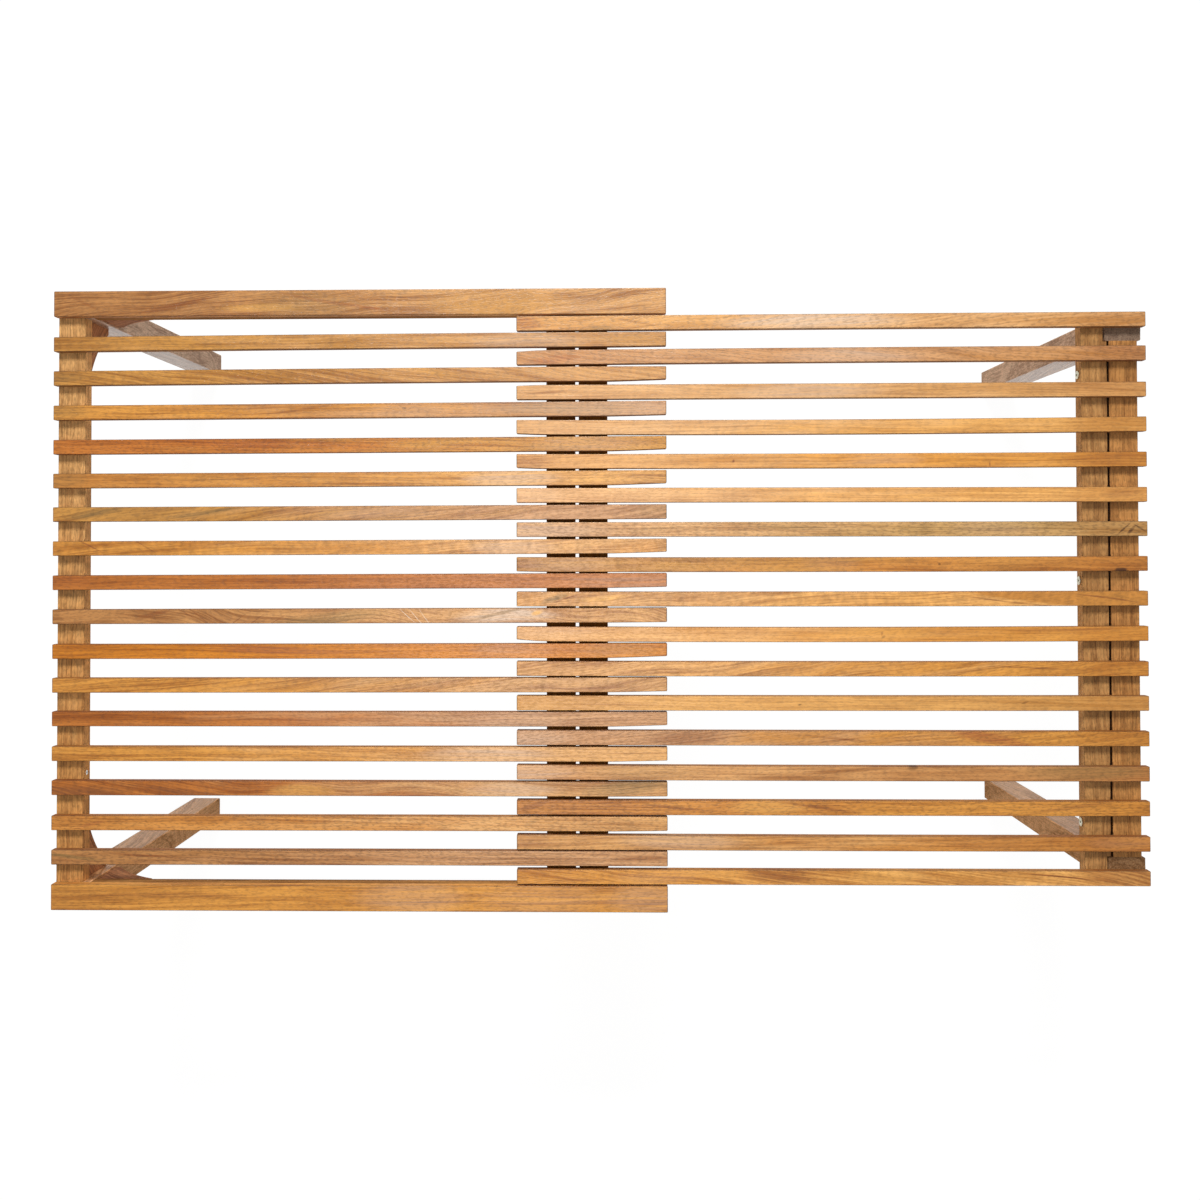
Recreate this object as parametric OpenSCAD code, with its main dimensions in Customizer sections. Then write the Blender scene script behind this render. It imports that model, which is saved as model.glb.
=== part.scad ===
// Extending dining table for the garden, in oiled hardwood.
// The top is made of two halves whose slats lie side by side, like the fingers of two hands.
// The sliding half pulls out to the right until its stop rail meets the middle rail.
// Frame: origin on the floor under the middle of the drawn-out table,
// +X towards the sliding half, +Y towards the back, +Z up. Millimetres.

/* [Top] */
// Height of the top above the floor
table_h = 740; // [680:5:780]
// Width of a slat
slat_w = 24; // [20:1:30]
// Thickness of the slats and edge boards
slat_t = 16; // [14:1:20]
// Gap between a slat and its neighbour on the other half
slat_gap = 4; // [3:0.5:6]
// Slats on the fixed half, one fewer than on the sliding half
slat_count = 16; // [12:1:16]
// Width of an edge board
board_w = 42; // [42:1:60]
// Rounding of the edges of slats and boards
slat_r = 2; // [1:0.5:4]

/* [Fixed half] */
// Length of the fixed slats and edge boards
fixed_l = 1005; // [900:5:1100]
// Width of the end rail between the left legs
end_rail_w = 45; // [40:1:50]
// Set-back of the end rail from the slat ends
end_rail_inset = 2; // [0:1:8]
// Distance of the slat screws from the end rail's outer face
end_screw_in = 13; // [11:1:15]
// Width of the middle rail
middle_rail_w = 47; // [40:1:54]
// Width of the side rails under the edge boards
side_rail_w = 41; // [36:1:42]
// Set-back of the side rails from the right ends of the boards
side_rail_short = 3; // [0:1:20]
// Screws that hold each edge board
board_screw_count = 4; // [2:1:6]
// First board screw, from the left leg
board_screw_left = 140; // [110:5:200]
// Last board screw, from the right end of the side rail
board_screw_right = 55; // [30:5:90]
// Place of the screw in the end rail's inner face, in slat pitches from the middle
face_screw_at = 5.125; // [4.875:0.125:5.125]

/* [Sliding half] */
// How much longer the sliding slats are than the fixed ones
slide_extra = 12; // [0:1:20]
// Width of the stop rail at the inner end
stop_rail_w = 47; // [40:1:54]
// Gap between the stop rail and the middle rail, drawn out as photographed
stop_gap = 6; // [2:1:20]
// Gap between the stop rail and the end rail when the table is closed
closed_gap = 1; // [1:0.5:5]
// Room for the bolt heads between the middle and inner rails when closed
closed_room = 9; // [6:1:15]
// Width of the inner rail beside the right legs
inner_rail_w = 42; // [36:1:50]
// Width of the outer rail between the right legs
outer_rail_w = 46; // [40:1:50]
// Set-back of the outer rail from the slat ends
outer_rail_inset = 8; // [4:1:14]
// Gap between the inner rail and the right leg frame
frame_gap = 3; // [2:0.5:5]
// How far the right legs stand proud of the outer rail
leg_proud = 5.5; // [2:0.5:8]

/* [Legs and rails] */
// Size of a leg along the table
leg_x = 58; // [54:1:64]
// Size of a leg across the table
leg_y = 42; // [38:1:44]
// Rounding of the upright edges of a leg
leg_r = 2.5; // [1:0.5:5]
// Chamfer round a foot
foot_chamfer = 4; // [1:0.5:8]
// Height of every rail
rail_h = 27; // [24:1:34]
// Rounding of the long edges of a rail
rail_r = 1.5; // [0.5:0.5:3]
// Depth of the running lanes under the slats of the other half
lane_d = 0.5; // [0.4:0.1:1]
// Side room of a running lane
lane_side = 1; // [0.5:0.25:1.5]

/* [Braces] */
// Length of a brace along its rail
brace_l = 90; // [80:1:110]
// Height of a brace down its leg
brace_h = 87; // [80:1:110]
// Height of the flat tips of a brace
brace_tip = 10; // [6:1:14]
// Depth of the hollow curve of a brace
brace_sag = 8; // [4:1:12]
// Thickness of a brace
brace_t = 24; // [20:1:28]
// Set-back of the side braces from the side rail's inner face
brace_inset = 2; // [0:1:6]

/* [Joinery] */
// Length of a tenon
tenon_l = 16; // [10:1:17]
// Thickness of a tenon
tenon_t = 13; // [9:1:15]
// Shoulder at each side of a tenon
tenon_shoulder = 8; // [5:1:10]
// Room round a tenon in its mortise
tenon_fit = 0.2; // [0.1:0.05:0.4]
// Room at the end of a tenon
tenon_end_room = 1; // [0.5:0.5:2]
// Wood left between the two mortises of a left leg
mortise_wall = 2; // [1:0.5:4]

/* [Fasteners] */
// Shank diameter of a wood screw
screw_d = 4; // [3.5:0.25:4.5]
// Head diameter of a wood screw
screw_head_d = 8; // [7:0.5:9]
// Height of a countersunk head
screw_head_h = 2.6; // [2:0.1:3.2]
// How deep a slat screw goes into its slat
slat_screw_bite = 9; // [7:0.5:11]
// Wood left under the head of a brace screw
brace_screw_seat = 13; // [11:1:15]
// How deep a brace screw goes into its leg or rail
brace_screw_bite = 22; // [16:1:23]
// Length of a screw's point
screw_point = 5; // [3:1:6]
// Radial room round a screw or bolt
screw_fit = 0.1; // [0.05:0.05:0.2]
// Shank diameter of a frame bolt
bolt_d = 6; // [5:0.5:7]
// Head diameter of a frame bolt
bolt_head_d = 14; // [12:0.5:16]
// Height of a frame bolt's head
bolt_head_h = 2.5; // [1.5:0.5:3]
// Radial room round a frame bolt in the inner rail
bolt_fit = 0.2; // [0.1:0.1:0.5]
// Socket of a frame bolt across its flats
bolt_socket = 4; // [3:0.5:5]
// Outer diameter of an insert nut
nut_d = 10; // [9:0.5:12]
// Length of an insert nut
nut_l = 15; // [12:1:18]
// How far a bolt's end stays short of the nut's far end
bolt_short = 2; // [0:0.5:4]

/* [Hidden] */
slide_count = slat_count + 1;
slide_l = fixed_l + slide_extra;
slide_overhang = end_rail_inset + end_rail_w + closed_gap;
frame_depth = outer_rail_inset + outer_rail_w + frame_gap + inner_rail_w;
fixed_overhang = frame_depth - slide_extra + closed_room;
pitch = 2 * (slat_w + slat_gap);
slide_w = slat_count * pitch + slat_w;
table_w = slide_w + 2 * (slat_gap + board_w);
overlap = slide_overhang + stop_rail_w + stop_gap + middle_rail_w + fixed_overhang;
table_l = fixed_l + slide_l - overlap;

// Places along the table
left_x = -table_l / 2;
right_x = table_l / 2;
fixed_end_x = left_x + fixed_l;
slide_start_x = right_x - slide_l;
end_rail_x = left_x + end_rail_inset;
middle_rail_x = fixed_end_x - fixed_overhang - middle_rail_w;
stop_rail_x = slide_start_x + slide_overhang;
outer_rail_x = right_x - outer_rail_inset - outer_rail_w;
inner_rail_x = outer_rail_x - frame_gap - inner_rail_w;
right_leg_x = right_x - outer_rail_inset + leg_proud - leg_x;
side_rail_x = left_x + leg_x;
side_rail_l = fixed_end_x - side_rail_short - side_rail_x;
end_screw_x = end_rail_x + end_screw_in;
middle_screw_x = middle_rail_x + middle_rail_w / 2;
stop_screw_x = stop_rail_x + stop_rail_w / 2;
inner_screw_x = inner_rail_x + inner_rail_w / 2;
board_screw_x0 = side_rail_x + board_screw_left;
board_screw_x1 = side_rail_x + side_rail_l - board_screw_right;

// Places across the table
edge_y = table_w / 2;
slide_y = slide_w / 2;
left_leg_y = edge_y - leg_y;
right_leg_y = slide_y - leg_y;
side_rail_y = edge_y - side_rail_w;
// The frame bolts lie in gaps between sliding slats, where a key reaches them: the second gap
// from each edge, and the gap behind the middle slat
bolt_y = slide_y - slat_w / 2 - 1.5 * pitch;
middle_bolt_y = pitch / 2;
face_screw_y = -face_screw_at * pitch;

// Levels
slat_z = table_h - slat_t;
rail_z = slat_z - rail_h;
rail_mid_z = slat_z - rail_h / 2;

// Hollow curve of a brace: an arc through the ends of both tips
brace_chord = norm([brace_l - brace_tip, brace_h - brace_tip]);
brace_arc_r = (brace_chord * brace_chord / 4 + brace_sag * brace_sag) / (2 * brace_sag);
brace_arc_back = (brace_arc_r - brace_sag) / brace_chord;
brace_arc_u = (brace_l + brace_tip) / 2 + (brace_h - brace_tip) * brace_arc_back;
brace_arc_v = -(brace_h + brace_tip) / 2 - (brace_l - brace_tip) * brace_arc_back;
brace_screw_u = brace_l * 2 / 3;
brace_screw_v = brace_h * 2 / 3;
slat_screw_l = rail_h + slat_screw_bite;
brace_screw_l = brace_screw_seat + brace_screw_bite;
counterbore_d = screw_head_d + 1;

side_tenon_l = leg_x - end_rail_inset - end_rail_w + tenon_shoulder - tenon_end_room - mortise_wall;
notch_side = 1;
bolt_l = inner_rail_w + frame_gap + nut_l - bolt_short;
socket_d = bolt_socket / cos(30);
socket_floor = 0.5;
nut_room = 1;

round_fn = 48;
arc_fn = 180;
eps = 1;

top_light = [0.86, 0.62, 0.38];
top_dark = [0.77, 0.52, 0.30];
board_wood = [0.74, 0.51, 0.28];
rail_wood = [0.66, 0.45, 0.26];
leg_wood = [0.58, 0.41, 0.28];
steel = [0.75, 0.75, 0.74];
brass = [0.78, 0.66, 0.36];

fixed_ids = [for (i = [1 : slat_count]) i];
slide_ids = [for (i = [1 : slide_count]) i];

function two_digits(i) = i < 10 ? str("0", i) : str(i);
function fixed_name(i) = str("fixed_slat_", two_digits(i));
function slide_name(i) = str("sliding_slat_", two_digits(i));
// Centre line of a slat, counted from the back edge of the table
function fixed_slat_y(i) = ((slat_count + 1) / 2 - i) * pitch;
function slide_slat_y(i) = ((slide_count + 1) / 2 - i) * pitch;
function board_screw_x(i) =
    board_screw_x0 + (board_screw_x1 - board_screw_x0) * i / (board_screw_count - 1);

// Flat rectangle with rounded corners, from the origin
module round_rect(w, h, r) {
    translate([r, 0]) square([w - 2 * r, h]);
    translate([0, r]) square([w, h - 2 * r]);
    for (x = [r, w - r], y = [r, h - r]) translate([x, y]) circle(r, $fn = round_fn);
}

// Block with every edge rounded, from the origin
module eased_block(l, w, h, r) {
    intersection() {
        linear_extrude(h) round_rect(l, w, r);
        rotate([90, 0, 90]) linear_extrude(l) round_rect(w, h, r);
        translate([0, w, 0]) rotate([90, 0, 0]) linear_extrude(w) round_rect(l, h, r);
    }
}

// Bar along X with rounded long edges and square ends
module bar_x(l, w, h, r) {
    rotate([90, 0, 90]) linear_extrude(l) round_rect(w, h, r);
}

// Bar along Y with rounded long edges and square ends
module bar_y(l, w, h, r) {
    translate([0, l, 0]) rotate([90, 0, 0]) linear_extrude(l) round_rect(w, h, r);
}

// Draws its children as they are and mirrored across the table
module both_sides() {
    children();
    mirror([0, 1, 0]) children();
}

// Draws its children on the side asked for: 1 is the back, -1 the front
module on_side(side) {
    if (side > 0) children();
    if (side < 0) mirror([0, 1, 0]) children();
}

// Countersunk wood screw along +Z, its head's face at the origin
module wood_screw(l) {
    cylinder(h = screw_head_h, d1 = screw_head_d, d2 = screw_d, $fn = round_fn);
    cylinder(h = l - screw_point, d = screw_d, $fn = round_fn);
    translate([0, 0, l - screw_point]) cylinder(h = screw_point, d1 = screw_d, d2 = 1, $fn = round_fn);
}

// Hole for a countersunk wood screw
module screw_hole(l) {
    head_r = screw_head_d / 2 + screw_fit;
    shank_r = screw_d / 2 + screw_fit;
    cylinder(h = screw_head_h + screw_fit, r1 = head_r, r2 = shank_r, $fn = round_fn);
    translate([0, 0, -eps]) cylinder(h = l + eps + screw_fit, r = shank_r, $fn = round_fn);
}

// Tenon along +Y from the origin, l long for a rail w wide, grown by room on every side
module tenon(w, l, room) {
    half = w / 2 - tenon_shoulder + room;
    far = l + (room > 0 ? tenon_end_room : 0);
    translate([-half, -eps, -tenon_t / 2 - room]) cube([2 * half, far + eps, tenon_t + 2 * room]);
}

// Lanes in the top of a rail, in which the slats of the other half run
module fixed_slat_lanes(x, w) {
    lane_w = slat_w + 2 * lane_side;
    for (i = fixed_ids)
        translate([x - eps, fixed_slat_y(i) - lane_w / 2, slat_z - lane_d])
            cube([w + 2 * eps, lane_w, lane_d + eps]);
}

module slide_slat_lanes(x, w) {
    lane_w = slat_w + 2 * lane_side;
    for (i = slide_ids)
        translate([x - eps, slide_slat_y(i) - lane_w / 2, slat_z - lane_d])
            cube([w + 2 * eps, lane_w, lane_d + eps]);
}

// Fixed half
module fixed_slat(i) {
    color(i % 3 == 1 ? top_dark : top_light) difference() {
        translate([left_x, fixed_slat_y(i) - slat_w / 2, slat_z])
            eased_block(fixed_l, slat_w, slat_t, slat_r);
        for (x = [end_screw_x, middle_screw_x])
            translate([x, fixed_slat_y(i), rail_z]) screw_hole(slat_screw_l);
    }
}

module board_screw_places() {
    for (i = [0 : board_screw_count - 1])
        translate([board_screw_x(i), side_rail_y + side_rail_w / 2, rail_z]) children();
}

module edge_board(side) {
    color(board_wood) on_side(side) difference() {
        translate([left_x, edge_y - board_w, slat_z]) eased_block(fixed_l, board_w, slat_t, slat_r);
        board_screw_places() screw_hole(slat_screw_l);
    }
}

module end_rail_left() {
    rail_l = 2 * left_leg_y;
    color(rail_wood) difference() {
        union() {
            translate([end_rail_x, -left_leg_y, rail_z]) bar_y(rail_l, end_rail_w, rail_h, rail_r);
            both_sides() end_rail_left_tenon(0);
        }
        slide_slat_lanes(end_rail_x, end_rail_w);
        for (i = fixed_ids) translate([end_screw_x, fixed_slat_y(i), rail_z]) screw_hole(slat_screw_l);
        face_screw_place() screw_hole(brace_screw_l);
        both_sides() left_end_brace_place() brace_rail_hole();
    }
}

module end_rail_left_tenon(room) {
    translate([end_rail_x + end_rail_w / 2, left_leg_y, rail_mid_z]) tenon(end_rail_w, tenon_l, room);
}

module face_screw_place() {
    translate([end_rail_x + end_rail_w, face_screw_y, rail_mid_z]) rotate([0, -90, 0]) children();
}

module middle_rail() {
    rail_l = 2 * side_rail_y;
    color(rail_wood) difference() {
        union() {
            translate([middle_rail_x, -side_rail_y, rail_z]) bar_y(rail_l, middle_rail_w, rail_h, rail_r);
            both_sides() middle_rail_tenon(0);
        }
        slide_slat_lanes(middle_rail_x, middle_rail_w);
        for (i = fixed_ids) translate([middle_screw_x, fixed_slat_y(i), rail_z]) screw_hole(slat_screw_l);
    }
}

module middle_rail_tenon(room) {
    translate([middle_screw_x, side_rail_y, rail_mid_z]) tenon(middle_rail_w, tenon_l, room);
}

module side_rail(side) {
    color(rail_wood) on_side(side) difference() {
        union() {
            translate([side_rail_x, side_rail_y, rail_z]) bar_x(side_rail_l, side_rail_w, rail_h, rail_r);
            side_rail_tenon(0);
        }
        middle_rail_tenon(tenon_fit);
        board_screw_places() screw_hole(slat_screw_l);
        left_side_brace_place() brace_rail_hole();
    }
}

module side_rail_tenon(room) {
    translate([side_rail_x, side_rail_y + side_rail_w / 2, rail_mid_z])
        rotate([0, 0, 90]) tenon(side_rail_w, side_tenon_l, room);
}

// Upright leg with rounded edges and a chamfered foot, from the origin
module leg_block() {
    c = foot_chamfer;
    intersection() {
        linear_extrude(slat_z) round_rect(leg_x, leg_y, leg_r);
        rotate([90, 0, 90]) linear_extrude(leg_x) foot_outline(leg_y, c);
        translate([0, leg_y, 0]) rotate([90, 0, 0]) linear_extrude(leg_y) foot_outline(leg_x, c);
    }
}

module foot_outline(w, c) {
    polygon([[c, 0], [w - c, 0], [w, c], [w, slat_z], [0, slat_z], [0, c]]);
}

module leg_left(side) {
    color(leg_wood) on_side(side) difference() {
        translate([left_x, left_leg_y, 0]) leg_block();
        end_rail_left_tenon(tenon_fit);
        side_rail_tenon(tenon_fit);
        left_end_brace_place() brace_leg_hole();
        left_side_brace_place() brace_leg_hole();
    }
}

// Brace in its own place: X along the rail from the leg, Z up to the rail's underside
module brace_block() {
    translate([0, brace_t / 2, 0]) rotate([90, 0, 0]) linear_extrude(brace_t) difference() {
        translate([0, -brace_h]) square([brace_l, brace_h]);
        translate([brace_arc_u, brace_arc_v]) circle(brace_arc_r, $fn = arc_fn);
    }
}

module brace_rail_screw_place() {
    translate([brace_screw_u, 0, -brace_screw_seat]) children();
}

module brace_leg_screw_place() {
    translate([brace_screw_seat, 0, -brace_screw_v]) rotate([0, -90, 0]) children();
}

// Clearance hole with a deep counterbore for the screwdriver
module brace_counterbore(depth) {
    rotate([180, 0, 0]) cylinder(h = depth, d = counterbore_d, $fn = round_fn);
    screw_hole(brace_screw_l);
}

module brace_rail_hole() {
    brace_rail_screw_place() screw_hole(brace_screw_l);
}

module brace_leg_hole() {
    brace_leg_screw_place() screw_hole(brace_screw_l);
}

module brace() {
    difference() {
        brace_block();
        brace_rail_screw_place() brace_counterbore(brace_h);
        brace_leg_screw_place() brace_counterbore(brace_l);
    }
}

module brace_screws() {
    brace_rail_screw_place() wood_screw(brace_screw_l);
    brace_leg_screw_place() wood_screw(brace_screw_l);
}

module left_end_brace_place() {
    translate([left_x + leg_x / 2, left_leg_y, rail_z]) rotate([0, 0, -90]) children();
}

module left_side_brace_place() {
    translate([side_rail_x, side_rail_y + brace_inset + brace_t / 2, rail_z]) children();
}

module right_end_brace_place() {
    translate([right_leg_x + leg_x / 2, right_leg_y, rail_z]) rotate([0, 0, -90]) children();
}

module end_brace_left(side) {
    color(leg_wood) on_side(side) left_end_brace_place() brace();
}

module side_brace_left(side) {
    color(leg_wood) on_side(side) left_side_brace_place() brace();
}

module fixed_top_screws() {
    color(steel) for (i = fixed_ids, x = [end_screw_x, middle_screw_x])
        translate([x, fixed_slat_y(i), rail_z]) wood_screw(slat_screw_l);
    color(steel) both_sides() board_screw_places() wood_screw(slat_screw_l);
}

module fixed_brace_screws() {
    color(steel) both_sides() left_end_brace_place() brace_screws();
    color(steel) both_sides() left_side_brace_place() brace_screws();
}

module end_rail_screw() {
    color(steel) face_screw_place() wood_screw(brace_screw_l);
}

// Sliding half
module sliding_slat(i) {
    color(i % 3 == 1 ? top_light : top_dark) difference() {
        translate([slide_start_x, slide_slat_y(i) - slat_w / 2, slat_z])
            eased_block(slide_l, slat_w, slat_t, slat_r);
        for (x = [stop_screw_x, inner_screw_x])
            translate([x, slide_slat_y(i), rail_z]) screw_hole(slat_screw_l);
    }
}

module stop_rail() {
    color(rail_wood) difference() {
        translate([stop_rail_x, -slide_y, rail_z]) bar_y(slide_w, stop_rail_w, rail_h, rail_r);
        fixed_slat_lanes(stop_rail_x, stop_rail_w);
        for (i = slide_ids) translate([stop_screw_x, slide_slat_y(i), rail_z]) screw_hole(slat_screw_l);
    }
}

// The inner rail is notched round the inner corner of each right leg
module inner_rail_right() {
    notch_x = right_leg_x - frame_gap;
    notch_y = right_leg_y - notch_side;
    color(rail_wood) difference() {
        translate([inner_rail_x, -slide_y, rail_z]) bar_y(slide_w, inner_rail_w, rail_h, rail_r);
        fixed_slat_lanes(inner_rail_x, inner_rail_w);
        for (i = slide_ids) translate([inner_screw_x, slide_slat_y(i), rail_z]) screw_hole(slat_screw_l);
        both_sides() translate([notch_x, notch_y, rail_z - eps]) cube([leg_x, 2 * leg_y, rail_h + 2 * eps]);
        bolt_places() bolt_hole(inner_rail_w + eps);
    }
}

module end_rail_right() {
    rail_l = 2 * right_leg_y;
    color(rail_wood) difference() {
        union() {
            translate([outer_rail_x, -right_leg_y, rail_z]) bar_y(rail_l, outer_rail_w, rail_h, rail_r);
            both_sides() end_rail_right_tenon(0);
        }
        fixed_slat_lanes(outer_rail_x, outer_rail_w);
        bolt_places() nut_hole();
        both_sides() right_end_brace_place() brace_rail_hole();
    }
}

module end_rail_right_tenon(room) {
    translate([outer_rail_x + outer_rail_w / 2, right_leg_y, rail_mid_z]) tenon(outer_rail_w, tenon_l, room);
}

module leg_right(side) {
    color(leg_wood) on_side(side) difference() {
        translate([right_leg_x, right_leg_y, 0]) leg_block();
        end_rail_right_tenon(tenon_fit);
        fixed_slat_lanes(right_leg_x, leg_x);
        right_end_brace_place() brace_leg_hole();
    }
}

module end_brace_right(side) {
    color(leg_wood) on_side(side) right_end_brace_place() brace();
}

module sliding_top_screws() {
    color(steel) for (i = slide_ids, x = [stop_screw_x, inner_screw_x])
        translate([x, slide_slat_y(i), rail_z]) wood_screw(slat_screw_l);
}

module sliding_brace_screws() {
    color(steel) both_sides() right_end_brace_place() brace_screws();
}

// Frame bolts run along +X from the inner face of the inner rail into the outer rail
module bolt_places() {
    for (y = [-bolt_y, middle_bolt_y, bolt_y])
        translate([inner_rail_x, y, rail_mid_z]) rotate([0, 90, 0]) children();
}

module bolt_hole(l) {
    translate([0, 0, -eps]) cylinder(h = l + eps, d = bolt_d + 2 * bolt_fit, $fn = round_fn);
}

module nut_hole() {
    translate([0, 0, inner_rail_w + frame_gap - eps])
        cylinder(h = nut_l + nut_room + eps, d = nut_d + 2 * screw_fit, $fn = round_fn);
}

module frame_bolts() {
    color(steel) bolt_places() difference() {
        union() {
            translate([0, 0, -bolt_head_h]) cylinder(h = bolt_head_h, d = bolt_head_d, $fn = round_fn);
            cylinder(h = bolt_l, d = bolt_d, $fn = round_fn);
        }
        translate([0, 0, -bolt_head_h - eps])
            cylinder(h = bolt_head_h + eps - socket_floor, d = socket_d, $fn = 6);
    }
}

module insert_nuts() {
    color(brass) bolt_places() translate([0, 0, inner_rail_w + frame_gap]) difference() {
        cylinder(h = nut_l, d = nut_d, $fn = round_fn);
        translate([0, 0, -eps]) cylinder(h = nut_l + 2 * eps, d = bolt_d + 2 * screw_fit, $fn = round_fn);
    }
}

for (i = fixed_ids) fixed_slat(i);
for (i = slide_ids) sliding_slat(i);
edge_board(-1);  // edge_board_front
edge_board(1);  // edge_board_back
side_rail(-1);  // side_rail_front
side_rail(1);  // side_rail_back
end_rail_left();
middle_rail();
stop_rail();
inner_rail_right();
end_rail_right();
leg_left(-1);  // leg_left_front
leg_left(1);  // leg_left_back
leg_right(-1);  // leg_right_front
leg_right(1);  // leg_right_back
end_brace_left(-1);  // end_brace_left_front
end_brace_left(1);  // end_brace_left_back
side_brace_left(-1);  // side_brace_left_front
side_brace_left(1);  // side_brace_left_back
end_brace_right(-1);  // end_brace_right_front
end_brace_right(1);  // end_brace_right_back
fixed_top_screws();
fixed_brace_screws();
end_rail_screw();
sliding_top_screws();
sliding_brace_screws();
frame_bolts();
insert_nuts();
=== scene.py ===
"""Extending slatted table: timber looks, fasteners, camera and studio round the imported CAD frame.

The table is two halves that slide into each other. The slats and edge boards are built here as
hand-finished bars, the rails, legs and braces keep their CAD shapes, and every piece gets its
own cut of the same oiled hardwood. All sizes are in metres.
"""

import logging
import math
import random
from dataclasses import dataclass, field, replace
from enum import Enum, IntEnum
from typing import Iterator, Sequence

import bmesh
import bpy
from mathutils import Matrix, Vector


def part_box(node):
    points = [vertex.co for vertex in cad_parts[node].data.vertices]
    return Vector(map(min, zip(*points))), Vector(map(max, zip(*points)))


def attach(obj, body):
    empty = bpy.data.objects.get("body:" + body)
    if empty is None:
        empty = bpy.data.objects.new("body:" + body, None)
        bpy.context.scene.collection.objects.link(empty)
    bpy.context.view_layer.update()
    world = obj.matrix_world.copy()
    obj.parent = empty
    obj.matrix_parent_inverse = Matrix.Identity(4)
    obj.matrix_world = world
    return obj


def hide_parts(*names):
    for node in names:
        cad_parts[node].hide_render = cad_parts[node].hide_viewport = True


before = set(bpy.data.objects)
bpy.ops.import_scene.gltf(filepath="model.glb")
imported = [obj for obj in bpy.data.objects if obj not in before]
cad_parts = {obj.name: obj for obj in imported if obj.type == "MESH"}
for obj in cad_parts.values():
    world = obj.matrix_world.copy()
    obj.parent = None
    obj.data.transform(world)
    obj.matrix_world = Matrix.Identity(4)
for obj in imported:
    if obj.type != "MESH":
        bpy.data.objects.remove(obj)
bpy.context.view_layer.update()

LOG = logging.getLogger("table")
MM = 0.001
Colour = tuple[float, float, float, float]


def linear(code: str) -> Colour:
    """Turns a written colour into the linear values that shaders use.

    Args:
        code: Red, green and blue as a six-digit hexadecimal code with a leading mark.

    Returns:
        Linear red, green, blue and an alpha of 1.
    """
    parts = [int(code[i : i + 2], 16) / 255 for i in (1, 3, 5)]
    red, green, blue = (c / 12.92 if c <= 0.04045 else ((c + 0.055) / 1.055) ** 2.4 for c in parts)
    return red, green, blue, 1.0


# Shader maths


class Signal:
    """A number on its way through a material, with the maths that the finishes need."""

    def __init__(self, book: "Book", socket: bpy.types.NodeSocket) -> None:
        """Wraps a socket.

        Args:
            book: The material that holds the socket's node.
            socket: The output that carries the number.
        """
        self.book = book
        self.socket = socket

    def _math(self, operation: str, *terms: "Signal | float") -> "Signal":
        """Adds one Math node.

        Args:
            operation: The node's operation.
            terms: Its inputs, in order.

        Returns:
            The node's result.
        """
        return self.book.node("ShaderNodeMath", {"operation": operation}, dict(enumerate(terms)))

    def __add__(self, other: "Signal | float") -> "Signal":
        """Sum."""
        return self._math("ADD", self, other)

    def __sub__(self, other: "Signal | float") -> "Signal":
        """Difference."""
        return self._math("SUBTRACT", self, other)

    def __rsub__(self, other: float) -> "Signal":
        """Difference from a plain number."""
        return self._math("SUBTRACT", other, self)

    def __mul__(self, other: "Signal | float") -> "Signal":
        """Product."""
        return self._math("MULTIPLY", self, other)

    def __truediv__(self, other: "Signal | float") -> "Signal":
        """Quotient."""
        return self._math("DIVIDE", self, other)

    def __pow__(self, other: float) -> "Signal":
        """Power."""
        return self._math("POWER", self, other)

    __radd__ = __add__
    __rmul__ = __mul__

    def size(self) -> "Signal":
        """The number without its sign."""
        return self._math("ABSOLUTE", self)

    def least(self, other: "Signal | float") -> "Signal":
        """The lower of two numbers."""
        return self._math("MINIMUM", self, other)

    def step(self, low: float, high: float) -> "Signal":
        """Rises smoothly from 0 to 1.

        Args:
            low: Where the rise begins; it may be above high, for a fall.
            high: Where it ends.

        Returns:
            The eased value.
        """
        kind = {"interpolation_type": "SMOOTHSTEP"}
        if low < high:
            return self.book.node("ShaderNodeMapRange", kind, {0: self, 1: low, 2: high})
        return self.book.node("ShaderNodeMapRange", kind, {0: self, 1: high, 2: low, 3: 1.0, 4: 0.0})


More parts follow.
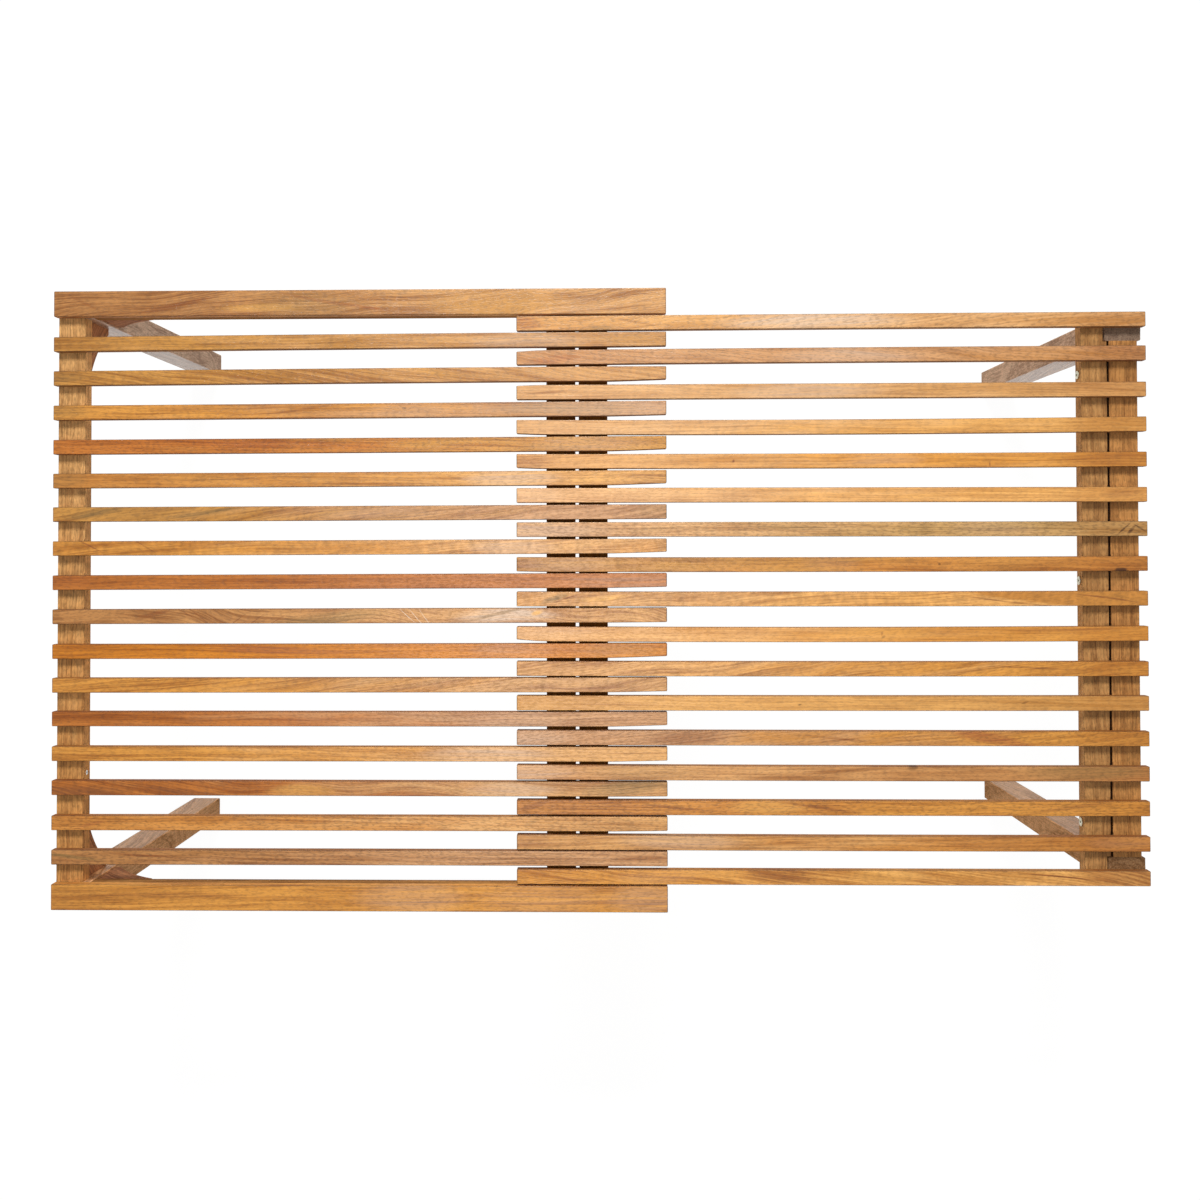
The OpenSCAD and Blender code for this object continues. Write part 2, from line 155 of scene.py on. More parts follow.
class Book:
    """One material's node tree, written from expressions."""

    def __init__(self, tree: bpy.types.NodeTree) -> None:
        """Empties the tree.

        Args:
            tree: The tree of a material or world.
        """
        self.tree = tree
        tree.nodes.clear()

    def node(
        self,
        kind: str,
        settings: dict[str, object] | None = None,
        sockets: dict[str | int, object] | None = None,
        out: str | int = 0,
    ) -> Signal:
        """Adds any node.

        Args:
            kind: The node's type.
            settings: Properties, set first.
            sockets: Values or links for its inputs, by name or number.
            out: The output that is wanted.

        Returns:
            That output.
        """
        made = self.tree.nodes.new(kind)
        for name, value in (settings or {}).items():
            setattr(made, name, value)
        for name, value in (sockets or {}).items():
            if isinstance(value, Signal):
                self.tree.links.new(value.socket, made.inputs[name])
            else:
                made.inputs[name].default_value = value
        return Signal(self, made.outputs[out] if len(made.outputs) else None)

    def mix(self, factor: Signal | float, first: Signal | Colour, second: Signal | Colour) -> Signal:
        """Blends two colours.

        Args:
            factor: 0 for the first, 1 for the second.
            first: A colour.
            second: Another.

        Returns:
            The blend.
        """
        return self.node("ShaderNodeMix", {"data_type": "RGBA"}, {0: factor, 6: first, 7: second}, 2)

    def shade(self, colour: Signal, amount: Signal) -> Signal:
        """Scales a colour's brightness.

        Args:
            colour: The colour.
            amount: 1 leaves it as it is.

        Returns:
            The scaled colour.
        """
        return self.node("ShaderNodeVectorMath", {"operation": "SCALE"}, {0: colour, "Scale": amount})

    def part(self, vector: Signal, axis: Sequence[float]) -> Signal:
        """Measures a vector along an axis.

        Args:
            vector: A place or a direction.
            axis: The axis, of length 1.

        Returns:
            How much of the vector lies along the axis.
        """
        settings = {"operation": "DOT_PRODUCT"}
        return self.node("ShaderNodeVectorMath", settings, {0: vector, 1: axis}, "Value")

    def cloud(self, u: Signal, v: Signal | float, w: Signal | float, detail: float = 1.0) -> Signal:
        """Smooth random values.

        Args:
            u: First coordinate, in cells.
            v: Second coordinate.
            w: Third coordinate.
            detail: How many finer layers are added.

        Returns:
            Values around one half.
        """
        place = self.node("ShaderNodeCombineXYZ", None, {0: u, 1: v, 2: w})
        return self.node("ShaderNodeTexNoise", None, {"Vector": place, "Scale": 1.0, "Detail": detail})


def new_book(name: str) -> tuple[bpy.types.Material, Book]:
    """Makes an empty node material.

    Args:
        name: Its name.

    Returns:
        The material and its book.
    """
    material = bpy.data.materials.new(name)
    material.use_nodes = True
    return material, Book(material.node_tree)


# Finishes


class Tone(Enum):
    """Shades of the oiled hardwood: the bright wood and its darker grain."""

    STRAW = ("#ECB77C", "#B6804E")
    HONEY = ("#F1B364", "#BA7D3E")
    SAND = ("#E3AA68", "#AF7741")
    AMBER = ("#DE9A45", "#AB6B2A")
    ORANGE = ("#D68526", "#A55C15")
    OCHRE = ("#CA9046", "#9B642A")
    TAN = ("#D59F64", "#A56F3E")
    COPPER = ("#D38E43", "#A36328")
    RUSSET = ("#C17531", "#95511C")
    ROSE = ("#D09B6A", "#A06C42")
    UMBER = ("#BE854D", "#925C2F")
    OLIVE = ("#CDA164", "#9B703A")
    RAIL = ("#CF9656", "#915F33")
    PALERAIL = ("#DDAA6C", "#9A6D3F")
    INRAIL = ("#BC8C55", "#845830")
    OUTRAIL = ("#C0894E", "#84552B")
    # Painted light: the legs' wood with the pale grey cast that the white floor's reflection and bounce
    # give the back legs' faces.
    PAINTED_BOUNCE_GREY = ("#CFAF93", "#9C7B63")
    FAWN = ("#E2AC78", "#AB7848")
    # Painted light: the same grey cast of floor reflection and bounce, on a warmer back leg.
    PAINTED_BOUNCE_FAWN = ("#D3AE8E", "#9F7A5E")
    CHESTNUT = ("#C6885A", "#87532F")

    @property
    def light(self) -> Colour:
        """The bright wood."""
        return linear(self.value[0])

    @property
    def dark(self) -> Colour:
        """The grain."""
        return linear(self.value[1])


@dataclass(frozen=True)
class Cut:
    """How a piece was sawn from the log, which sets its figure.

    Pith is how far the log's middle lay from the piece and tilt how steeply the grain crosses it.
    Rate is growth rings for each metre, wander how far they stray, contrast how dark they are,
    streak the long dark lines among them, ripple the light bars across the grain and fleck the
    fine dark dashes along it.
    """

    pith: float
    tilt: float
    rate: float
    wander: float
    contrast: float
    streak: float
    ripple: float
    fleck: float


class Figure(Enum):
    """Figures that show on the table."""

    STRAIGHT = Cut(0.090, 0.008, 230.0, 0.014, 0.90, 0.30, 0.12, 0.24)
    SLANTED = Cut(0.055, 0.120, 210.0, 0.036, 1.00, 0.45, 0.14, 0.24)
    FLAMED = Cut(0.018, 0.080, 260.0, 0.080, 1.10, 0.60, 0.16, 0.24)
    RIPPLED = Cut(0.060, 0.070, 190.0, 0.030, 0.85, 0.30, 0.34, 0.20)
    SPECKLED = Cut(0.080, 0.014, 280.0, 0.012, 0.90, 0.35, 0.14, 0.34)
    FINE = Cut(0.060, 0.020, 400.0, 0.030, 0.76, 0.10, 0.30, 0.30)
    CALM = Cut(0.090, 0.008, 260.0, 0.014, 0.66, 0.14, 0.12, 0.18)
    DRIFTING = Cut(0.055, 0.100, 240.0, 0.030, 0.68, 0.20, 0.12, 0.30)


class Stain(Enum):
    """Colours of the marks in the wood; the pale one is partly painted sheen."""

    KNOT = "#4A2A14"
    STREAK = "#8F552B"
    DUSK = "#8F6C3E"
    EMBER = "#A55E33"
    GOLD = "#E9AE5C"
    # Partly the wood's pale figure, partly painted sheen: the pale, pinkish haze that the overhead
    # softbox's reflection lays on the middle of the table.
    PALE_AND_PAINTED_SHEEN = "#E8CFB6"
    TOAST = "#C4843C"


@dataclass(frozen=True)
class Mark:
    """A knot, streak or smudge of the grain.

    Along is its place on its piece from the middle, 0, to an end, 1 or -1. Across, length and
    width are in millimetres, length and width from its middle. Slope is how steeply it crosses
    the piece.
    """

    along: float
    across: float = 0.0
    length: float = 8.0
    width: float = 4.0
    depth: float = 0.8
    slope: float = 0.0
    stain: Stain = Stain.KNOT


def wash(along: float, length: float, depth: float, stain: Stain, width: float = 16) -> Mark:
    """A mark that tints the whole width of a slat, or of a board with the width given."""
    return Mark(along, 0, length, width, depth, 0.0, stain)


class Seed(IntEnum):
    """Where in the log the pieces of each kind begin."""

    FIXED_SLATS = 101
    SLIDING_SLATS = 201
    BOARDS = 301
    RAILS = 401
    SIDE_RAILS = 431
    LEGS = 501
    END_BRACES = 521
    SIDE_BRACES = 541


@dataclass(frozen=True)
class Lay:
    """Which way the grain of a piece runs."""

    along: tuple[float, float, float]
    across: tuple[float, float, float]

    def parts(self, book: Book, vector: Signal) -> tuple[Signal, Signal, Signal]:
        """Splits a vector into the piece's own grain directions.

        Args:
            book: The material.
            vector: A place or a direction.

        Returns:
            Its parts along the grain, across it and through it.
        """
        third = Vector(self.along).cross(Vector(self.across))
        return tuple(book.part(vector, axis) for axis in (self.along, self.across, third))


ALONG_X = Lay((1, 0, 0), (0, 1, 0))
ALONG_Y = Lay((0, 1, 0), (1, 0, 0))
ALONG_Z = Lay((0, 0, 1), (1, 0, 0))


@dataclass(frozen=True)
class Cells:
    """Cells of a random pattern to the metre, along the grain and across it, and its finer layers."""

    along: float
    across: float
    detail: float = 1.0


class Pattern(Enum):
    """Random patterns that are drawn out along the grain."""

    WANDER = Cells(4, 9)
    FIBRES = Cells(8, 430, 2.0)
    PORES = Cells(130, 1500)
    FLECKS = Cells(130, 430, 2.0)
    MOTTLE = Cells(14, 95, 2.0)


@dataclass(frozen=True)
class Grain:
    """What draws one piece's grain.

    U and v are the place along and across the piece, wander is how far the grain strays, dark how
    much of the darker tone shows, and drift how much of the far tone. The rest are patterns.
    """

    u: Signal
    v: Signal
    wander: Signal
    rings: Signal
    fibres: Signal
    pores: Signal
    flecks: Signal
    ripple: Signal
    dark: Signal
    drift: Signal


@dataclass(frozen=True)
class Faces:
    """Where each kind of face is, 1 on it and 0 elsewhere.

    End is the sawn ends, arris the rounded edges, flank both flanks, joint the flank that faces into
    an open joint gap, and top what faces up.
    """

    end: Signal
    arris: Signal
    flank: Signal
    joint: Signal
    top: Signal


PITH_DEPTH = 20 * MM
KNOT_SPREAD = 3.0
KNOT_PUSH = 0.5
# Share of the light taken off a flank in an open joint gap: painted shade, where shade falls.
JOINT_PAINTED_SHADE = 0.86

# How square on a face has to be to count, and how far from square an edge is when it is rounded
SQUARE_ON = (0.75, 0.97)
ROUNDED = (0.75, 0.15)


@dataclass(frozen=True)
class Timber:
    """Oiled hardwood for one piece.

    The tone turns into the far tone along the piece. End dark takes that share of the light off the
    sawn ends. The painted shade values take that share of the light off the flanks, rounded edges
    and top as painted shade, for how light falls there, and a value below 0 adds it as painted light.
    Tips amber reddens the left and right tips, and the flank shade tint reddens the flanks as painted
    shade. Joint side is 1 or -1 for the flank across the grain that faces into an open joint gap,
    which gets painted shade, and 0 for none.
    """

    tone: Tone
    far_tone: Tone | None = None
    figure: Figure = Figure.STRAIGHT
    lay: Lay = ALONG_X
    marks: tuple[Mark, ...] = ()
    brightness: float = 1.0
    roughness: float = 0.31
    sheen: float = 0.52
    end_dark: float = 0.30
    # Painted light and shade: flanks, rounded edges and top darkened, or lightened below 0, for how light
    # falls on them; the flank tint reddens the flanks as painted shade.
    flank_painted_shade: float = 0.0
    arris_painted_shade: float = 0.5
    tips_amber: tuple[float, float] = (0.0, 0.0)
    flank_painted_shade_tint: float = 0.0
    top_painted_shade: float = 0.0
    joint_side: int = 0

    def material(self, name: str, low: Vector, high: Vector, seed: int) -> bpy.types.Material:
        """Writes the material for a piece.

        Args:
            name: The piece's name.
            low: Its lowest corner.
            high: Its highest corner.
            seed: Picks where in the log it was cut.

        Returns:
            The material.
        """
        material, book = new_book(f"wood_{name}")
        reach = sum(abs(a) * h for a, h in zip(self.lay.along, (high - low) / 2))
        here = book.node("ShaderNodeTexCoord", out="Object")
        here = book.node("ShaderNodeVectorMath", {"operation": "SUBTRACT"}, {0: here, 1: (low + high) / 2})
        grain = self._grain(book, here, reach, random.Random(seed))
        faces = self._faces(book)
        colour = self._colour(book, grain, faces, reach)
        colour = book.shade(colour, self._value(grain, faces))

        rough = grain.flecks * 0.10 + grain.pores * 0.15
        rough = rough + faces.end * 0.2 + faces.arris * 0.25 + faces.flank * 0.5
        rough = rough + (self.roughness - 0.04)
        height = grain.fibres * 0.25 - grain.flecks * 0.35 + grain.rings * 0.2 - grain.pores * 0.25
        bump = book.node(
            "ShaderNodeBump", None, {"Strength": 0.7, "Distance": 0.3 * MM, "Height": height}
        )
        shader = book.node(
            "ShaderNodeBsdfPrincipled",
            None,
            {"Base Color": colour, "Roughness": rough, "Normal": bump, "Specular IOR Level": self.sheen},
        )
        book.node("ShaderNodeOutputMaterial", None, {"Surface": shader})
        return material

    def _grain(self, book: Book, here: Signal, reach: float, pick: random.Random) -> Grain:
        """Draws the piece's grain.

        Args:
            book: The material.
            here: The place on the piece, from its middle.
            reach: Half the piece's length.
            pick: Draws where in the log the piece was cut.

        Returns:
            The grain.
        """
        su, sv, sw = (pick.uniform(2, 60) for _ in range(3))
        side = pick.choice((-1, 1))
        cut = self.figure.value
        u, v, w = self.lay.parts(book, here)

        def draw(pattern: Pattern, across: Signal, a: float, b: float, c: float) -> Signal:
            """Draws a pattern, shifted by a along the grain, b across it and c through it."""
            cells = pattern.value
            place = (u * cells.along + a, across * cells.across + b, w * cells.across + c)
            return book.cloud(*place, cells.detail)

        wander = (draw(Pattern.WANDER, v, su, sv, sw) - 0.5) * cut.wander
        lean = v - u * (cut.tilt * side) + wander
        for mark in self.marks:
            if mark.stain is Stain.KNOT and mark.slope == 0.0:
                knot = self._spot(u, v, mark, reach, KNOT_SPREAD)
                lean = lean + knot * (mark.width * KNOT_PUSH * MM)
        ring_v, ring_w = lean + cut.pith * side, w + PITH_DEPTH
        ring = (ring_v * ring_v + ring_w * ring_w) ** 0.5
        rings = book.cloud(ring * cut.rate + sv, u * 1.6 + su, sw, 2.0).step(0.36, 0.66)
        bands = book.cloud(ring * (cut.rate * 0.26) + sw, u * 2.6 + sv, su).step(0.34, 0.68)
        streaks = book.cloud(ring * (cut.rate * 1.7) + su, u * 7 + sw, sv).step(0.56, 0.72)
        fibres = draw(Pattern.FIBRES, lean, su, sv, sw).step(0.36, 0.64)
        pores = draw(Pattern.PORES, lean, sv, sw, su).step(0.64, 0.78)
        ripple = book.cloud(u * 95 + su, v * 22 + ring * 60, sw) - 0.5
        flecks = draw(Pattern.FLECKS, lean, sw, su, sv).step(0.46, 0.64)
        mottle = draw(Pattern.MOTTLE, lean, sv, sw, su) - 0.5
        dark = rings * 0.42 + bands * 0.38 + streaks * cut.streak
        dark = dark + (fibres - 0.5) * 0.6 + mottle * 1.2 + (0.06 - cut.streak * 0.12)
        drift = (u / reach + (book.cloud(u * 8 + sw, lean * 60, su) - 0.5) * 1.8).step(-0.7, 0.7)
        return Grain(u, v, wander, rings, fibres, pores, flecks, ripple, dark, drift)

    def _faces(self, book: Book) -> Faces:
        """Tells the piece's faces apart by the way they face.

        Args:
            book: The material.

        Returns:
            The faces.
        """
        facing = book.node("ShaderNodeTexCoord", out="Normal")
        a, b, c = self.lay.parts(book, facing)
        squarest = (a.size() ** 16 + b.size() ** 16 + c.size() ** 16).least(1.0)
        height = book.part(facing, (0, 0, 1))
        parts = (a.size(), b.size(), b * self.joint_side, height)
        end, flank, joint, top = (part.step(*SQUARE_ON) for part in parts)
        return Faces(end, squarest.step(*ROUNDED), flank, joint, top)

    def _colour(self, book: Book, grain: Grain, faces: Faces, reach: float) -> Signal:
        """Colours the wood and stains it with its marks.

        Args:
            book: The material.
            grain: The piece's grain.
            faces: Its faces.
            reach: Half its length.

        Returns:
            The colour before light is taken off it.
        """
        far = self.far_tone or self.tone
        light = book.mix(grain.drift, self.tone.light, far.light)
        deep = book.mix(grain.drift, self.tone.dark, far.dark)
        colour = book.mix(grain.dark * self.figure.value.contrast, light, deep)
        colour = book.mix(grain.pores * 0.30, colour, Tone.UMBER.dark)
        left, right = (grain.u / -reach).step(0.55, 0.85), (grain.u / reach).step(0.70, 0.85)
        amber = left * self.tips_amber[0] + right * self.tips_amber[1]
        # Painted shade: the flanks, and the flank in an open joint gap, are reddened towards dark orange.
        amber = amber + faces.flank * self.flank_painted_shade_tint + faces.joint
        colour = book.mix(amber, colour, Tone.ORANGE.dark)
        across = grain.v + grain.wander * 0.5
        soaked = grain.fibres * 0.5 + grain.rings * 0.3 + 0.45
        for mark in self.marks:
            share = self._spot(grain.u, across, mark, reach, 1.0) * soaked * mark.depth
            colour = book.mix(share.least(1.0), colour, linear(mark.stain.value))
        return colour

    def _value(self, grain: Grain, faces: Faces) -> Signal:
        """Works out how bright the wood is.

        Args:
            grain: The piece's grain, whose ripple and flecks show.
            faces: Its faces: darker end grain, and painted shade and light on the flanks, edges and top.

        Returns:
            1 for the plain colour, less where it is darker.
        """
        cut = self.figure.value
        value = (grain.ripple * cut.ripple * 2 + 1.0) * (1 - (grain.flecks - 0.35) * cut.fleck)
        value = value * self.brightness
        # Painted shade on the rounded edges, flanks and top for how light falls there, and painted light
        # where those values are below 0; the end grain itself is darker.
        value = value * (1 - faces.end * self.end_dark) * (1 - faces.arris * self.arris_painted_shade)
        value = value * (1 - faces.flank * self.flank_painted_shade) * (1 - faces.top * self.top_painted_shade)
        # Painted shade on the flank in the open joint gap.
        if self.joint_side:
            value = value * (1 - faces.joint * JOINT_PAINTED_SHADE)
        return value

    @staticmethod
    def _spot(u: Signal, v: Signal, mark: Mark, reach: float, spread: float) -> Signal:
        """A soft oval round a mark.

        Args:
            u: Metres along the grain.
            v: Metres across it.
            mark: The mark.
            reach: Half the piece's length.
            spread: How much wider than the mark the oval is.

        Returns:
            1 at the mark's middle, 0 outside.
        """
        away = u - mark.along * reach
        a = away / (mark.length * MM * spread)
        b = (v - away * mark.slope - mark.across * MM) / (mark.width * MM * spread)
        return (a * a + b * b).step(1.0, 0.0)


@dataclass(frozen=True)
class Metal:
    """Plated metal with a brushed, slightly uneven face; patches and brushing are rates to the metre."""

    name: str
    bright: str
    dull: str
    roughness: float = 0.3
    patches: float = 450.0
    brushing: float = 3500.0

    def material(self) -> bpy.types.Material:
        """Writes the material.

        Returns:
            The material.
        """
        material, book = new_book(self.name)
        here = book.node("ShaderNodeTexCoord", out="Object")
        noise = "ShaderNodeTexNoise"
        cloud = book.node(noise, None, {"Vector": here, "Scale": self.patches, "Detail": 3.0})
        fine = book.node(noise, None, {"Vector": here, "Scale": self.brushing, "Detail": 1.0})
        colour = book.mix(cloud.step(0.35, 0.65), linear(self.bright), linear(self.dull))
        bump = book.node("ShaderNodeBump", None, {"Strength": 0.2, "Distance": 0.05 * MM, "Height": fine})
        shader = book.node(
            "ShaderNodeBsdfPrincipled",
            None,
            {
                "Base Color": colour,
                "Metallic": 1.0,
                "Roughness": cloud * 0.15 + self.roughness,
                "Normal": bump,
            },
        )
        book.node("ShaderNodeOutputMaterial", None, {"Surface": shader})
        return material


# Bars


@dataclass(frozen=True)
class Hand:
    """What a hand-finished bar has that a drawn one hasn't.

    The low side is the front edge (-Y) and the high side the back edge (+Y). Relief is wood
    taken off one side of the bar's free end, and drift is how far its ends and middle stray.
    """

    relief_low: float = 0.0
    relief_high: float = 0.0
    relief_length: float = 100 * MM
    relief_at_right: bool = True
    relief_curve: float = 1.2
    drift: tuple[float, float, float] = (0.0, 0.0, 0.0)

    def sides(self, x: float, left: float, right: float) -> tuple[float, float]:
        """How far the two sides stray from straight.

        Args:
            x: Place along the bar.
            left: The bar's left end.
            right: Its right end.

        Returns:
            Shifts of the low and the high side along Y.
        """
        t = 2 * (x - left) / (right - left) - 1
        first, middle, last = self.drift
        stray = middle + (last - first) / 2 * t + ((first + last) / 2 - middle) * t * t
        free = right - x if self.relief_at_right else x - left
        taken = max(0.0, 1 - free / self.relief_length) ** self.relief_curve
        return stray + self.relief_low * taken, stray - self.relief_high * taken


@dataclass(frozen=True)
class Bar:
    """A bar along X with rounded edges and softened ends."""

    low: Vector
    high: Vector
    edge: float = 1.2 * MM
    end: float = 1.6 * MM
    least_edge: float = 0.3 * MM
    hand: Hand = field(default_factory=Hand)
    turns: int = 4
    spacing: float = 28 * MM

    def stations(self) -> Iterator[tuple[float, float]]:
        """Cross-sections from the left end to the right one.

        Yields:
            Place along X and how far the section is drawn in there.
        """
        quarter = [math.pi / 2 * k / self.turns for k in range(self.turns + 1)]
        soft = [(self.end * (1 - math.sin(a)), self.end * (1 - math.cos(a))) for a in quarter]
        left, right = self.low.x, self.high.x
        count = max(2, round((right - left - 4 * self.end) / self.spacing))
        first, last = left + 2 * self.end, right - 2 * self.end
        for step, inset in reversed(soft):
            yield left + step, inset
        for k in range(count + 1):
            yield first + (last - first) * k / count, 0.0
        for step, inset in soft:
            yield right - step, inset

    def section(self, x: float, inset: float) -> list[Vector]:
        """One rounded cross-section.

        Args:
            x: Place along the bar.
            inset: How far it is drawn in on all sides.

        Returns:
            Its corners, in order.
        """
        shift_low, shift_high = self.hand.sides(x, self.low.x, self.high.x)
        y0, y1 = self.low.y + shift_low + inset, self.high.y + shift_high - inset
        z0, z1 = self.low.z + inset, self.high.z - inset
        r = max(self.edge - inset, self.least_edge)
        arcs = ((y1 - r, z1 - r), (y0 + r, z1 - r), (y0 + r, z0 + r), (y1 - r, z0 + r))
        return [
            Vector((x, y + r * math.cos(a), z + r * math.sin(a)))
            for turn, (y, z) in enumerate(arcs)
            for a in (math.pi / 2 * (turn + k / self.turns) for k in range(self.turns + 1))
        ]

    def build(self, name: str) -> bpy.types.Object:
        """Builds the bar.

        Args:
            name: The piece's name.

        Returns:
            The piece.
        """
        made = bmesh.new()
        rows = [[made.verts.new(p) for p in self.section(*s)] for s in self.stations()]
        for a, b in zip(rows, rows[1:]):
            for k in range(len(a)):
                j = (k + 1) % len(a)
                made.faces.new((a[k], a[j], b[j], b[k]))
        made.faces.new(rows[0])
        made.faces.new(reversed(rows[-1]))
        bmesh.ops.recalc_face_normals(made, faces=made.faces)
        return as_piece(made, name)


def as_piece(made: bmesh.types.BMesh, name: str) -> bpy.types.Object:
    """Turns a finished mesh into a smooth-shaded piece in the scene.

    Args:
        made: The mesh, which is freed.
        name: The piece's name.

    Returns:
        The piece.
    """
    mesh = bpy.data.meshes.new(name)
    for face in made.faces:
        face.smooth = True
    made.to_mesh(mesh)
    made.free()
    piece = bpy.data.objects.new(name, mesh)
    bpy.context.scene.collection.objects.link(piece)
    shading = piece.modifiers.new("even_shading", "WEIGHTED_NORMAL")
    shading.weight = 80
    return piece


def corners(node: str) -> tuple[Vector, Vector]:
    """Lowest and highest corner of a CAD node, as vectors."""
    low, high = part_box(node)
    return Vector(low), Vector(high)


def log_piece(piece: bpy.types.Object, body: str) -> None:
    """Reports a piece."""
    LOG.info("%s rides on %s", piece.name, body)


# Slats


@dataclass(frozen=True)
class Slat:
    """How one slat looks and sits.

    Over is how far its left end, middle and right end lie towards the back, and low and high are
    how much its free end was eased at the front and the back, all in millimetres.
    """

    over: tuple[float, float, float]
    tone: Tone
    far_tone: Tone | None = None
    figure: Figure = Figure.STRAIGHT
    low: float = 0.0
    high: float = 0.0
    marks: tuple[Mark, ...] = ()
    brightness: float = 1.0


@dataclass(frozen=True)
class SlatRow:
    """The slats of one half, from the back edge to the front.

    The running gap lifts the slats' undersides, so that those that stray sideways still clear the
    tops of the other half's rails.
    """

    body: str
    prefix: str
    slot: str
    slats: Sequence[Slat]
    free_end_right: bool
    free_length: float
    seed: int
    tips_amber: tuple[float, float] = (0.0, 0.0)
    # Painted shade on the slats' flanks: a redder tint and a darker value.
    flank_painted_shade_tint: float = 0.45
    flank_painted_shade: float = 0.25
    running_gap: float = 0.2 * MM

    def build(self) -> None:
        """Builds, dresses and seats every slat."""
        for number, slat in enumerate(self.slats, 1):
            node = f"{self.prefix}_slat_{number:02d}"
            low, high = corners(node)
            low.z += self.running_gap
            hand = Hand(
                relief_low=slat.low * MM,
                relief_high=slat.high * MM,
                relief_length=self.free_length,
                relief_at_right=self.free_end_right,
                drift=tuple(over * MM for over in slat.over),
            )
            piece = Bar(low, high, hand=hand).build(f"slat_{self.prefix}_{number:02d}")
            timber = Timber(
                slat.tone,
                slat.far_tone,
                slat.figure,
                marks=slat.marks,
                brightness=slat.brightness,
                flank_painted_shade=self.flank_painted_shade,
                tips_amber=self.tips_amber,
                flank_painted_shade_tint=self.flank_painted_shade_tint,
            )
            seed = self.seed + number - 1
            piece.data.materials.append(timber.material(piece.name, low, high, seed))
            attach(piece, self.body)
            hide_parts(node)
            log_piece(piece, self.body)
